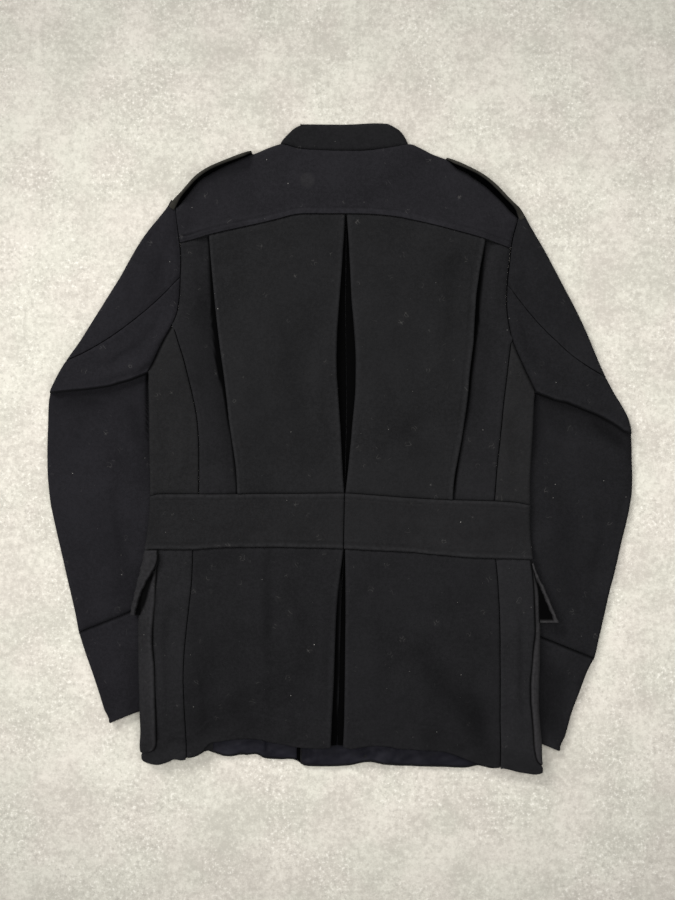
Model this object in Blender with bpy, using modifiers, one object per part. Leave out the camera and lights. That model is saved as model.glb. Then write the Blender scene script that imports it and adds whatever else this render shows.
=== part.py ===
"""Officer jacket of thick wool cloth, laid out flat on its front with its back up.

Every size in the tables is in millimetres. x is measured from the centre-back
line and "down" from the nape, where the stand collar is sewn on, towards the
hem. Left and right are the wearer's; with the back up and the collar away from
the eye, the wearer's left is on the left. The model itself is in metres, +Z up,
collar towards +Y, with the origin at the middle of the bounding box's underside.

The stack from the floor up: sleeves, pocket flaps, pockets, fronts (left over
right), and the back with its folded pleats. The panels lie on each other, so
each height is worked out from what is under it.
"""
import math

import bmesh
import bpy
from mathutils import Vector

MM = 0.001

# ---------------------------------------------------------------- sizes, mm
FRONT = 2.2            # front cloth
BACK = 2.0             # back, side and sleeve cloth
BAND = 2.4             # waistband, two layers pressed
COLLAR = 3.0           # collar, two layers with its stiffening
STRAP = 4.2            # shoulder strap, two layers
FACING = 1.0           # thin facing inside the front hem
SEAM = 0.45            # between two sewn edges
EDGE_GAP = 0.45        # half the gap between sheets that meet edge to edge
REST = 0.4             # between two layers that lie on each other
SLEEVE_FLAT = 8.0      # flattened sleeve below the arm fold
SLEEVE_HEAD = 12.0     # padded-out sleeve above the arm fold
SHOULDER = 14.0        # height along the shoulder edges
PLEAT_DEPTH = 28.0     # return of the centre pleats
KNIFE_DEPTH = 22.0     # return of the knife pleats
KNIFE_LAP = 26.0       # side back under the knife pleat
OVERLAP = 54.0         # each front past the centre
BUTTON_X = 30.0
BUTTON_D = 22.0
BUTTON_T = 2.3
BUTTON_LIFT = 2.7      # the left front rides over its buttons
STRAP_WIDE = 30.0
CUFF_GAP = 0.4

PLEAT_STEP = 3 * BACK + 2 * REST + 0.8     # underlay, return, top panel
BASE_CENTRE = 2 * FRONT + BUTTON_LIFT + 0.3 + REST
BASE_SIDE = FRONT + REST + 1.2
SIDE_HIGH = 6.8        # fold of a side panel, outside to outside


def table(names, *rows):
    keys = names.split()
    return [dict(zip(keys, row)) for row in rows]


# Armhole seam, from the shoulder tip to the armpit.
ARMHOLE = {
    -1: table("down x", (68.9, -206.2), (119.0, -200.7), (151.9, -201.3),
              (201.9, -206.2), (234.9, -218.4), (266.6, -237.9)),
    +1: table("down x", (79.9, 210.5), (126.3, 201.3), (161.7, 198.9),
              (212.9, 199.5), (242.2, 207.4), (291.0, 230.6)),
}
# Side-back seam above the waist, from the armhole to the waistband.
SIDE_SEAM = {
    -1: table("down x", (212.0, -209.9), (235.0, -201.5), (267.0, -191.5),
              (300.0, -184.5), (340.0, -178.0), (380.0, -177.0), (416.4, -177.4)),
    +1: table("down x", (228.0, 203.6), (250.0, 198.7), (291.0, 194.3),
              (320.0, 191.0), (350.0, 188.0), (385.0, 184.0), (425.5, 180.6)),
}
# Side fold of the upper body, armpit to waistband.
SIDE_FOLD = {
    -1: table("down x", (266.6, -237.9), (300.0, -238.4), (340.0, -238.0),
              (380.0, -237.8), (419.0, -237.5)),
    +1: table("down x", (291.0, 230.6), (320.0, 229.0), (350.0, 227.5),
              (385.0, 225.5), (430.0, 224.5)),
}
# Edges of the knife pleats and of the centre pleat.
KNIFE = {
    -1: table("down x", (98.0, -165.9), (160.0, -160.6), (220.0, -154.6),
              (280.0, -146.5), (340.0, -138.9), (416.5, -130.5)),
    +1: table("down x", (104.0, 170.8), (160.0, 161.7), (220.0, 156.9),
              (280.0, 150.7), (340.0, 143.4), (423.4, 130.5)),
}
PLEAT = {
    -1: table("down x", (76.0, -1.2), (130.0, -3.3), (190.0, -7.4), (250.0, -10.3),
              (310.0, -7.2), (370.0, -3.9), (416.0, -1.2)),
    +1: table("down x", (76.0, 1.8), (130.0, 5.4), (190.0, 8.3), (250.0, 12.7),
              (310.0, 10.8), (370.0, 5.4), (416.0, 0.8)),
}
VENT = {
    -1: table("down x", (482.0, -2.4), (520.0, -6.7), (580.0, -11.0),
              (640.0, -13.3), (725.0, -17.1)),
    +1: table("down x", (482.0, 0.6), (520.0, 0.6), (580.0, 0.4),
              (640.0, -0.6), (725.0, -2.4)),
}
# Skirt: side seam and side fold.
SKIRT_SEAM = {
    -1: table("down x", (482.3, -183.6), (525.0, -185.6), (563.0, -189.5),
              (578.0, -191.2), (615.0, -194.6), (640.0, -195.3), (680.0, -194.2),
              (702.0, -193.6), (722.0, -193.2), (737.0, -193.0)),
    +1: table("down x", (493.6, 181.8), (530.0, 184.6), (571.0, 186.8),
              (586.0, 187.1), (640.0, 187.7), (680.0, 187.4), (702.0, 187.5), (722.0, 187.7),
              (748.5, 188.0)),
}
SKIRT_FOLD = {
    -1: table("down x", (483.5, -240.0), (525.0, -244.2), (570.0, -248.0),
              (620.0, -248.6), (680.0, -246.6), (738.0, -246.6)),
    +1: table("down x", (494.7, 224.5), (525.0, 229.6), (570.0, 233.0),
              (620.0, 233.2), (680.0, 232.5), (755.0, 235.6)),
}
BAND_FOLD = {
    -1: table("down x", (419.0, -237.5), (450.0, -238.4), (483.5, -240.0)),
    +1: table("down x", (430.0, 224.5), (460.0, 224.3), (494.7, 224.5)),
}
# Seams and edges that run across.
YOKE_SEAM = table("x down", (-201.5, 110.6), (-165.9, 101.0), (-111.0, 88.7),
                  (-56.1, 77.2), (0.0, 76.3), (58.1, 78.8), (114.4, 91.0),
                  (170.8, 106.0), (204.0, 116.7))
BAND_TOP = table("x down", (-237.5, 419.0), (-177.4, 416.4), (-130.5, 416.5),
                 (-44.3, 416.0), (0.0, 415.5), (44.0, 418.3), (87.3, 421.7),
                 (130.5, 423.4), (180.6, 425.4), (224.5, 430.0))
BAND_LOW = table("x down", (-242.8, 483.5), (-183.6, 482.3), (-138.3, 480.5),
                 (-47.7, 481.2), (0.0, 482.6), (45.9, 485.1), (91.2, 487.7),
                 (136.5, 491.0), (181.8, 493.6), (228.0, 494.8))
SHOULDER_EDGE = table("x down", (-206.2, 68.9), (-189.0, 49.0), (-165.0, 27.0),
                      (-128.0, 9.0), (-92.0, -4.0), (-66.0, -6.5), (0.0, 0.0),
                      (66.0, -5.5), (92.0, -3.0), (128.0, 13.0), (159.0, 34.0),
                      (185.0, 55.0), (210.5, 79.9))
BACK_HEM = table("x down", (-193.0, 737.0), (-168.0, 726.0), (-152.0, 716.0),
                 (-101.0, 713.0), (-57.0, 722.5), (-2.4, 723.0), (55.0, 722.0),
                 (122.0, 729.0), (152.0, 741.0), (188.0, 748.0))
FRONT_HEM = table("x down", (-247.0, 737.0), (-225.0, 743.0), (-193.0, 738.5),
                  (-140.0, 735.5), (-90.0, 739.5), (-45.0, 747.0), (6.0, 747.0),
                  (30.0, 744.0), (60.0, 748.0), (150.0, 750.0), (188.0, 749.0),
                  (236.0, 756.0))
# Sleeves: each row is one line across, from its outer edge to the armhole or,
# below the armpit, to its inner fold. bow is how far the line sags.
SLEEVE = {
    -1: table("out_x out_d in_x in_d bow high",
              (-211.1, 58.0, -206.2, 68.9, 0.0, 13.0),
              (-237.9, 93.3, -202.7, 100.7, 0.0, 13.0),
              (-262.3, 131.2, -200.7, 119.0, 3.0, 12.5),
              (-296.5, 188.5, -201.0, 136.0, 9.0, 12.0),
              (-333.1, 254.4, -201.3, 151.9, 13.0, 12.0),
              (-347.7, 272.7, -206.2, 201.9, 10.0, 12.0),
              (-355.0, 283.7, -218.4, 234.9, 6.0, 12.0),
              (-359.9, 294.6, -237.9, 266.6, 3.0, 12.0),
              (-361.0, 305.0, -237.0, 281.0, 3.0, 8.9),
              (-363.0, 345.0, -216.0, 302.0, 0.0, 8.0),
              (-362.6, 400.0, -196.0, 365.0, 0.0, 8.0),
              (-345.3, 491.1, -180.6, 452.0, 0.0, 8.0),
              (-324.5, 585.0, -172.0, 524.0, 0.0, 8.0)),
    +1: table("out_x out_d in_x in_d bow high",
              (213.5, 69.5, 210.5, 79.9, 0.0, 13.0),
              (239.1, 111.6, 205.2, 106.8, 0.0, 13.0),
              (262.3, 156.8, 201.3, 126.3, 3.0, 12.5),
              (290.4, 211.7, 200.1, 143.4, 9.0, 12.0),
              (317.2, 275.1, 198.9, 161.7, 14.0, 12.0),
              (328.2, 294.6, 199.5, 212.9, 11.0, 12.0),
              (337.9, 314.2, 207.4, 242.2, 5.0, 12.0),
              (348.9, 343.4, 230.6, 291.0, -5.0, 12.0),
              (350.0, 356.0, 229.5, 305.5, -5.0, 8.9),
              (350.8, 385.0, 208.0, 328.0, 0.0, 8.0),
              (349.0, 430.0, 187.0, 380.0, 0.0, 8.0),
              (325.7, 527.7, 164.7, 483.7, 0.0, 8.0),
              (303.8, 616.7, 151.3, 554.5, 0.0, 8.0)),
}
HIND_SEAM_ROW = 4      # where the hind-arm seam crosses the back of the sleeve
ARMPIT_ROW = 7
CUFF_HEM = {
    -1: dict(out_x=-287.9, out_d=694.8, in_x=-146.4, in_d=637.5),
    +1: dict(out_x=262.3, out_d=729.0, in_x=120.8, in_d=671.6),
}
SHOULDER_STRAP = {
    -1: table("x down", (-117.5, 0.5), (-128.0, 3.5), (-152.0, 13.5), (-172.0, 22.5),
              (-187.0, 35.5), (-201.0, 51.0), (-207.5, 57.5)),
    +1: table("x down", (126.5, 9.5), (140.0, 14.5), (163.0, 25.0), (181.0, 38.0),
              (196.0, 53.5), (207.0, 65.5), (213.0, 70.0)),
}
# Pockets: rear edge on the back, outer silhouette follows the side.
POCKET = {
    -1: dict(rear=table("down x", (486.0, -224.8), (540.0, -228.2), (600.0, -231.5),
                        (680.0, -228.2), (722.0, -229.0), (729.0, -236.0)),
             front_x=-104.0, low=729.0),
    +1: dict(rear=table("down x", (497.0, 225.9), (540.0, 227.0), (600.0, 228.0),
                        (660.0, 223.6), (722.0, 226.5), (739.0, 232.0)),
             front_x=96.0, low=739.0),
}
# Flaps: rear end on the back and the outer fold, which stands off the side.
FLAP = {
    -1: table("down rear fold", (486.0, -226.0, -246.2), (500.0, -229.5, -248.0),
              (515.0, -236.0, -252.0), (535.0, -244.5, -256.0), (560.0, -252.0, -259.5)),
    +1: table("down rear fold", (497.0, 226.0, 231.5), (512.0, 230.0, 236.6),
              (525.0, 236.0, 243.0), (545.0, 245.0, 251.0), (568.0, 252.5, 257.5)),
}


# ------------------------------------------------------------- small helpers
def pairs(tab, key, value):
    return [(row[key], row[value]) for row in tab]


def along(points, at):
    """Straight-line reading of a table, held at its first and last slope."""
    if at <= points[0][0]:
        return points[0][1]
    for (a, va), (b, vb) in zip(points, points[1:]):
        if at <= b:
            return va + (vb - va) * (at - a) / (b - a)
    return points[-1][1]


def x_at(tab, down):
    return along(pairs(tab, "down", "x"), down)


def down_at(tab, x):
    return along(pairs(tab, "x", "down"), x)


def mix(a, b, t):
    return a + (b - a) * t


def ease(t):
    t = min(1.0, max(0.0, t))
    return t * t * (3.0 - 2.0 * t)


def material(name, colour, roughness):
    mat = bpy.data.materials.new(name)
    mat.use_nodes = True
    shader = mat.node_tree.nodes["Principled BSDF"]
    shader.inputs["Base Color"].default_value = (*colour, 1.0)
    shader.inputs["Roughness"].default_value = roughness
    shader.inputs["Metallic"].default_value = 0.0
    return mat


# ------------------------------------------------------- heights of the stack
def under_body_edge(side, down):
    """Inner fold of the sleeve that lies under the body."""
    rows = SLEEVE[side][ARMPIT_ROW:]
    points = [(r["in_d"], r["in_x"]) for r in rows]
    hem = CUFF_HEM[side]
    points.append((hem["in_d"], hem["in_x"]))
    return along(points, down)


def sleeve_lift(x, down):
    """How far the sleeves under the body raise what lies on them."""
    most = 0.0
    for side in (-1, 1):
        armpit = ARMHOLE[side][-1]["down"]
        hem = CUFF_HEM[side]
        over = side * (x - under_body_edge(side, down))
        slope = (hem["in_d"] - hem["out_d"]) / (hem["in_x"] - hem["out_x"])
        cuff = hem["out_d"] + slope * (x - hem["out_x"])
        reach = ease((over + 85.0) / 65.0)
        start = ease((down - (armpit - 125.0)) / 100.0)
        stop = ease((cuff + 66.0 - down) / 50.0)
        most = max(most, reach * start * stop)
    return (SLEEVE_FLAT + 1.0) * most


def pocket_zone(x, down):
    side = -1 if x < 0 else 1
    pocket = POCKET[side]
    inner = ease((side * (x - pocket["front_x"]) + 18.0) / 16.0)
    top = ease((down - (down_at(BAND_LOW, x) - 26.0)) / 25.0)
    return inner * top


def flap_zone(x, down):
    side = -1 if x < 0 else 1
    inner = ease((side * (x - POCKET[side]["front_x"]) + 18.0) / 16.0)
    top = ease((down - (down_at(BAND_LOW, x) - 26.0)) / 25.0)
    low = ease((FLAP[side][-1]["down"] + 18.0 - down) / 15.0)
    return inner * top * low


PLY = BACK + REST + 0.4


def raw_lift(x, down):
    return (sleeve_lift(x, down)
            + PLY * (pocket_zone(x, down) + flap_zone(x, down)))


def lift(x, down):
    """Height of the lowest layer of the body at a point. In the skirt it runs
    straight between the levels of the side seam, so that layers stay parallel."""
    knots = [row["down"] for row in SKIRT_SEAM[-1 if x < 0 else 1]]
    if down <= knots[0]:
        return raw_lift(x, down)
    for a, b in zip(knots, knots[1:]):
        if down <= b:
            return mix(raw_lift(x, a), raw_lift(x, b), (down - a) / (b - a))
    return raw_lift(x, knots[-1])


def button_ridge(x):
    return BUTTON_LIFT * ease((x - 4.0) / 12.0) * ease((58.0 - x) / 12.0)


def back_base(x, down):
    """Top of the fronts, with the room that the back needs over them."""
    centre = ease((104.0 - abs(x)) / 40.0)
    facing = (FACING + REST) * ease((down - 645.0) / 40.0)
    return lift(x, down) + mix(BASE_SIDE, BASE_CENTRE, centre) + facing


def panel_top(x, down, edge):
    """Outer face of a back panel that ends in a folded pleat edge at x = 0
    and, above the waist, at x = edge."""
    centre = BASE_CENTRE + PLEAT_STEP
    outer = BASE_SIDE + PLEAT_STEP
    fall = ease((abs(x) - 48.0) / (abs(edge) - 30.0 - 48.0))
    facing = (FACING + REST) * ease((down - 645.0) / 40.0)
    return lift(x, down) + mix(centre, outer, fall) + facing


def band_top(x, down):
    """Waistband and skirt: high over the centre stack, low at the sides."""
    centre = BASE_CENTRE + PLEAT_STEP
    fall = ease((abs(x) - 48.0) / 110.0)
    facing = (FACING + REST) * ease((down - 645.0) / 40.0)
    return lift(x, down) + mix(centre, SIDE_HIGH, fall) + facing


def side_top(x, down):
    return lift(x, down) + SIDE_HIGH


def yoke_top(x, down):
    """Matches the panels at the yoke seam and rises to the shoulders."""
    seam = down_at(YOKE_SEAM, x)
    edge = down_at(SHOULDER_EDGE, x)
    t = ease((seam - down) / max(20.0, (seam - edge)))
    if abs(x) <= 166.0:
        low = panel_top(x, seam, 166.0)
    else:
        low = mix(panel_top(166.0, seam, 166.0), side_top(200.0, seam),
                  ease((abs(x) - 166.0) / 24.0))
    neck = BASE_CENTRE + PLEAT_STEP
    high = mix(neck, SHOULDER, ease((abs(x) - 60.0) / 60.0))
    return mix(low, high, t)


# --------------------------------------------------------------- cloth shells
class Sheet:
    """A sheet of cloth from one or more grids of points that share edges.
    Points are its outer face; the thickness goes to the other side."""

    def __init__(self, name, thickness, mat, even=False):
        self.name = name
        self.thickness = thickness
        self.mat = mat
        self.even = even
        self.mesh = bmesh.new()
        self.seen = {}

    def vertex(self, point):
        key = tuple(round(c, 3) for c in point)
        if key not in self.seen:
            x, down, z = point
            self.seen[key] = self.mesh.verts.new((x * MM, -down * MM, z * MM))
        return self.seen[key]

    def grid(self, rows, flip=False):
        for upper, lower in zip(rows, rows[1:]):
            a = [self.vertex(p) for p in upper]
            b = [self.vertex(p) for p in lower]
            for i in range(len(a) - 1):
                ring = [a[i], b[i], b[i + 1], a[i + 1]]
                if flip:
                    ring.reverse()
                face = [v for n, v in enumerate(ring) if v is not ring[n - 1]]
                if len(face) > 2:
                    self.mesh.faces.new(face)
        return self

    def build(self):
        data = bpy.data.meshes.new(self.name)
        bmesh.ops.triangulate(self.mesh, faces=self.mesh.faces[:], quad_method="SHORT_EDGE")
        self.mesh.to_mesh(data)
        self.mesh.free()
        obj = bpy.data.objects.new(self.name, data)
        PARTS.objects.link(obj)
        data.materials.append(self.mat)
        shell = obj.modifiers.new("Thickness", "SOLIDIFY")
        shell.thickness = self.thickness * MM
        shell.offset = -1.0
        shell.use_even_offset = self.even
        shell.use_quality_normals = True
        obj.parent = ROOT
        return obj


def arc(centre_x, centre_z, radius, start, stop, steps):
    """Points of a fold in the x-z plane; angles in degrees."""
    points = []
    for i in range(steps + 1):
        a = math.radians(mix(start, stop, i / steps))
        points.append((centre_x + radius * math.cos(a), centre_z + radius * math.sin(a)))
    return points


def round_edge(distance, low, high):
    """Height of a flattened fold at a distance inside its edge: a half circle
    between low and high. Returns (upper, lower)."""
    radius = (high - low) / 2.0
    middle = (high + low) / 2.0
    if distance >= radius:
        return high, low
    rise = radius * math.sqrt(max(0.0, 1.0 - (1.0 - distance / radius) ** 2))
    return middle + rise, middle - rise


# ------------------------------------------------------------ upper back body
def outer_line(side, down):
    """Armhole, then the side-back seam."""
    seam = SIDE_SEAM[side]
    if down <= seam[0]["down"]:
        return x_at(ARMHOLE[side], down)
    return x_at(seam, down)


def outer_downs(side):
    """Where the armhole and the side-back seam have their corners."""
    first = down_at(YOKE_SEAM, x_at(ARMHOLE[side], 112.0)) + 0.0
    arm = [r["down"] for r in ARMHOLE[side] if first + 2 < r["down"] < SIDE_SEAM[side][0]["down"] - 2]
    seam = [r["down"] for r in SIDE_SEAM[side]]
    return [first] + arm + seam


def share(down, x, top, low):
    a, b = down_at(top, x), down_at(low, x)
    return (down - a) / (b - a)


def settle(x_of, share_v, top, low, gap_top, gap_low):
    """Point at share_v between two across seams, on the line x_of(down)."""
    down = 0.5 * (down_at(top, x_of(100.0)) + down_at(low, x_of(400.0)))
    for _ in range(10):
        x = x_of(down)
        a, b = down_at(top, x) + gap_top, down_at(low, x) - gap_low
        down = mix(a, b, share_v)
    return x_of(down), down


def back_side(side, mat):
    rows = []
    for down in outer_downs(side):
        v = share(down, outer_line(side, down), YOKE_SEAM, BAND_TOP)
        v = min(1.0, max(0.0, v))
        row = []
        for u in (0.0, 0.35, 0.7, 0.95, 1.0):
            def line(d, u=u):
                out = outer_line(side, d) - side * SEAM / 2
                if u < 1.0:
                    return mix(out, x_at(KNIFE[side], d), u / 0.95)
                return x_at(KNIFE[side], d) - side * KNIFE_LAP
            x, d = settle(line, v, YOKE_SEAM, BAND_TOP, SEAM / 2, SEAM / 2)
            knife = x_at(KNIFE[side], d)
            low = lift(x, d) + BASE_SIDE + BACK
            far = ease(side * (x - knife) / 24.0)
            row.append((x, d, mix(low, side_top(x, d), far)))
        rows.append(row)
    sheet = Sheet("back_side_" + LR[side], BACK, mat)
    return sheet.grid(rows, flip=side > 0).build()


def pleat_middle(tab, down):
    return 0.5 * (x_at(tab[-1], down) + x_at(tab[1], down))


def inverted_pleat(side, tab, down, depth, top_z, base_z):
    """From the centre seam of the underlay, out to the hidden fold, back along
    the return and round the visible edge. Ends on top, at the edge."""
    edge = x_at(tab[side], down)
    middle = pleat_middle(tab, down) + side * SEAM / 2
    hidden = edge + side * depth
    under = base_z + BACK
    ret = under + REST
    points = [(middle, under), (mix(middle, hidden, 0.5), under)]
    half = (ret - under) / 2.0
    points += [(hidden, under), (hidden + side * half, under + half), (hidden, ret)]
    points += [(mix(hidden, edge, 0.5), ret)]
    radius = (top_z - ret) / 2.0
    turn = arc(edge + radius, ret + radius, radius, 270.0, 90.0, 4)
    if side < 0:
        turn = [(2 * edge - x, z) for x, z in turn]
    return points + turn


def back_centre(side, mat):
    rows = []
    for v in (0.0, 0.16, 0.34, 0.52, 0.68, 0.84, 1.0):
        row = []

        def put(x_of, z_of):
            x, d = settle(x_of, v, YOKE_SEAM, BAND_TOP, SEAM / 2, SEAM / 2)
            row.append((x, d, z_of(x, d)))

        _, mid = settle(lambda d: x_at(PLEAT[side], d), v, YOKE_SEAM, BAND_TOP, 0, 0)
        edge = x_at(PLEAT[side], mid)
        shape = inverted_pleat(side, PLEAT, mid, PLEAT_DEPTH,
                               panel_top(edge, mid, 166.0), back_base(edge, mid))
        for px, pz in shape:
            put(lambda d, px=px: px, lambda x, d, pz=pz: pz)
        for u in (1 / 3, 2 / 3):
            put(lambda d, u=u: mix(x_at(PLEAT[side], d), x_at(KNIFE[side], d), u),
                lambda x, d: panel_top(x, d, x_at(KNIFE[side], d)))
        _, low = settle(lambda d: x_at(KNIFE[side], d), v, YOKE_SEAM, BAND_TOP, 0, 0)
        knife = x_at(KNIFE[side], low)
        top = panel_top(knife, low, knife)
        ret = lift(knife, low) + BASE_SIDE + BACK + REST + 0.4
        radius = (top - ret) / 2.0
        turn = arc(knife - radius, ret + radius, radius, 90.0, -90.0, 4)
        if side < 0:
            turn = [(2 * knife - x, z) for x, z in turn]
        for px, pz in turn:
            put(lambda d, px=px: px, lambda x, d, pz=pz: pz)
        inner = knife - side * KNIFE_DEPTH
        rise = lift(inner, low) - lift(knife, low)
        put(lambda d: inner, lambda x, d: ret + rise)
        rows.append(row)
    sheet = Sheet("back_centre_" + LR[side], BACK, mat)
    return sheet.grid(rows, flip=side < 0).build()


def doubled(name, side, thickness, mat, rows_top, rows_low):
    """Upper and lower grids that share the points of the side fold."""
    sheet = Sheet(name, thickness, mat)
    sheet.grid(rows_top, flip=side > 0)
    sheet.grid(rows_low, flip=side < 0)
    return sheet.build()


def side_rows(side, stations, inner_of, across, high_of, low_of, closed_from,
              grow=0.0, seam_gap=SEAM / 2):
    """Rows of a panel that is folded round the side. Each station is a level;
    columns go from the fold inwards."""
    top, low = [], []
    for outer_x, down, closed in stations:
        inner = inner_of(down) + side * seam_gap
        row_t, row_l = [], []
        radius = 0.5 * (high_of(outer_x, down) - low_of(outer_x, down)) + grow
        steps = [0.0, 0.3 * radius, radius]
        width = side * (outer_x - inner)
        steps = [min(s, 0.5 * width * s / radius) for s in steps]
        marks = steps + [mix(steps[-1], width, t) for t in across]
        for m in marks:
            x = outer_x - side * m
            high, floor = high_of(x, down) + grow, low_of(x, down) - grow
            if closed:
                # the rounding is worked out from the heights at the fold itself
                up, dn = round_edge(m, floor, high)
            else:
                up, dn = high, floor
            row_t.append((x, down, up))
            row_l.append((x, down, dn))
        top.append(row_t)
        low.append(row_l)
    return top, low


def side_panel(side, mat):
    seam = SIDE_SEAM[side]
    armpit = ARMHOLE[side][-1]["down"]
    stations = []
    for down in (seam[0]["down"] + 4.0, ARMHOLE[side][-2]["down"], armpit - 5.0):
        if down < seam[0]["down"] + 3.9:
            continue
        stations.append((x_at(ARMHOLE[side], down) - side * SEAM / 2, down, False))
    for row in seam:
        if row["down"] > armpit - 1:
            down = max(row["down"], armpit + 3.5)
            if row is seam[-1]:
                continue
            stations.append((x_at(SIDE_FOLD[side], down), down, True))
    stations.append((x_at(SIDE_FOLD[side], 500.0), None, True))
    stations.sort(key=lambda s: 1e9 if s[1] is None else s[1])
    top, low = [], []
    for outer_x, down, closed in stations:
        if down is None:
            a = down_at(BAND_TOP, outer_x) - SEAM / 2
            rows = side_rows(side, [(outer_x, a, True)], lambda d: x_at(seam, 999.0),
                             (0.45, 1.0), side_top, lift, 0)
            fix = [[(x, down_at(BAND_TOP, x) - SEAM / 2, z) for x, _, z in rows[0][0]],
                   [(x, down_at(BAND_TOP, x) - SEAM / 2, z) for x, _, z in rows[1][0]]]
            top.append(fix[0])
            low.append(fix[1])
        else:
            rows = side_rows(side, [(outer_x, down, closed)], lambda d: x_at(seam, d),
                             (0.45, 1.0), side_top, lift, 0)
            top += rows[0]
            low += rows[1]
    return doubled("side_panel_" + LR[side], side, BACK, mat, top, low)


# -------------------------------------------------------------- yoke and neck
def armhole_x(side, down):
    return x_at(ARMHOLE[side], down)


def near_neck(x):
    """0 along the neck, 1 along the shoulders."""
    return ease((abs(x) - 66.0) / 22.0)


def yoke(mat):
    marks = table("low top", (None, None), (-183.7, -189.0), (-165.9, -165.0),
                  (-138.5, -128.0), (-111.0, -92.0), (-83.5, -72.0), (-56.1, -54.0),
                  (0.0, 0.0), (58.1, 54.0), (86.2, 72.0), (114.4, 92.0),
                  (142.6, 128.0), (170.8, 159.0), (187.0, 185.0), (None, None))
    rows = []
    for distance, part in ((0.0, 0.0), (0.25, 0.0), (2.2, 0.0), (7.0, 0.0), (7.0, 0.45),
                           (0.0, 1.0)):
        row = []
        for n, mark in enumerate(marks):
            side = -1 if n == 0 else 1
            arm = mark["low"] is None
            top_x = ARMHOLE[side][0]["x"] if arm else mark["top"]
            start = down_at(SHOULDER_EDGE, top_x) + SEAM / 2 + distance
            end_x = armhole_x(side, 113.0) if arm else mark["low"]
            end = down_at(YOKE_SEAM, end_x) - SEAM / 2
            down = mix(start, end, part) if part else start
            x = (armhole_x(side, down) - side * SEAM / 2 if arm
                 else mix(top_x, end_x, (down - start + distance) / (end - start + distance)))
            z = yoke_top(x, down)
            if part == 0.0:
                up, _ = round_edge(distance, 0.0, z)
                z = mix(z, max(up, z / 2 + EDGE_GAP), near_neck(x))
            row.append((x, down, z))
        rows.append(row)
    return Sheet("back_yoke", BACK, mat).grid(rows).build()


# Neckline of the fronts, which dips under the back of the neck.
NECKLINE = table("x down", (0.0, 22.0), (16.0, 20.6), (46.0, 10.6), (58.0, 3.8),
                 (70.0, -4.5), (72.0, -6.0))
NECK_MARKS = (1.4, 16.0, 46.0, 58.0)


def neck_front(x):
    return down_at(NECKLINE, min(abs(x), 72.0))


def neck_start(side, x):
    """Top edge of a front along the neck; level past the centre."""
    return neck_front(x) if side * x > 0 else neck_front(0.0)


def collar(mat):
    ends = table("w left right high", (0.0, 78.0, 76.0, 15.0), (0.3, 75.5, 73.5, 13.5),
                 (0.7, 67.0, 66.0, 11.0), (0.92, 58.0, 58.0, 9.6), (1.0, 52.0, 52.0, 9.0))
    rows = []
    for e in ends:
        w, high = e["w"], e["high"]
        radius = high / 2.0
        points = []

        def back_down(x):
            seam = down_at(SHOULDER_EDGE, max(-70.0, min(70.0, x))) - SEAM / 2
            return mix(seam, -33.5, w)

        def front_down(x):
            t = min(abs(x), 72.0) / 72.0
            seam = neck_front(x) - SEAM / 2
            return seam - (27.5 + 6.5 * (1.0 - t * t)) * w

        left, right = e["left"], e["right"]
        for mark in NECK_MARKS:
            x = -mark * (left - radius) / (ends[0]["left"] - ends[0]["high"] / 2)
            points.append((x, front_down(x), 0.0))
        for n, (x, z) in enumerate(arc(-left + radius, radius, radius, 270.0, 90.0, 6)):
            points.append((x, mix(front_down(-left), back_down(-left), n / 6), z))
        for t in (0.66, 0.33):
            points.append((-t * (left - radius), back_down(-t * left), high))
        points.append((0.0, back_down(0.0), high))
        for t in (0.33, 0.66):
            points.append((t * (right - radius), back_down(t * right), high))
        for n, (x, z) in enumerate(arc(right - radius, radius, radius, 90.0, -90.0, 6)):
            points.append((x, mix(back_down(right), front_down(right), n / 6), z))
        for mark in reversed(NECK_MARKS):
            x = mark * (right - radius) / (ends[0]["right"] - ends[0]["high"] / 2)
            points.append((x, front_down(x), 0.0))
        rows.append(points)
    return Sheet("collar_stand", COLLAR, mat).grid(rows, flip=True).build()


# ---------------------------------------------------------------------- fronts
def front_low(side, x, down, ply):
    """Outer (lower) face of a front: the right one lies on the left one."""
    level = button_ridge(x)
    if side > 0:
        level = (level + ply + 0.3) * ease((82.0 - x) / 22.0)
    return lift(x, down) + level


def front_marks(side):
    """Columns of a front from its outer seam to its edge: (top x, low x)."""
    if side < 0:
        return ((-165.0, -160.0), (-128.0, -130.0), (-98.0, -104.0), (-70.0, -86.0),
                (-58.0, -58.0), (-46.0, -46.0), (-16.0, -16.0), (4.0, 4.0), (16.0, 16.0),
                (46.0, 46.0), (OVERLAP, OVERLAP))
    return ((159.0, 156.0), (128.0, 126.0), (98.0, 96.0), (82.0, 82.0), (70.0, 70.0),
            (58.0, 58.0), (46.0, 46.0), (16.0, 16.0), (4.0, 4.0), (-OVERLAP, -OVERLAP))


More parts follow.
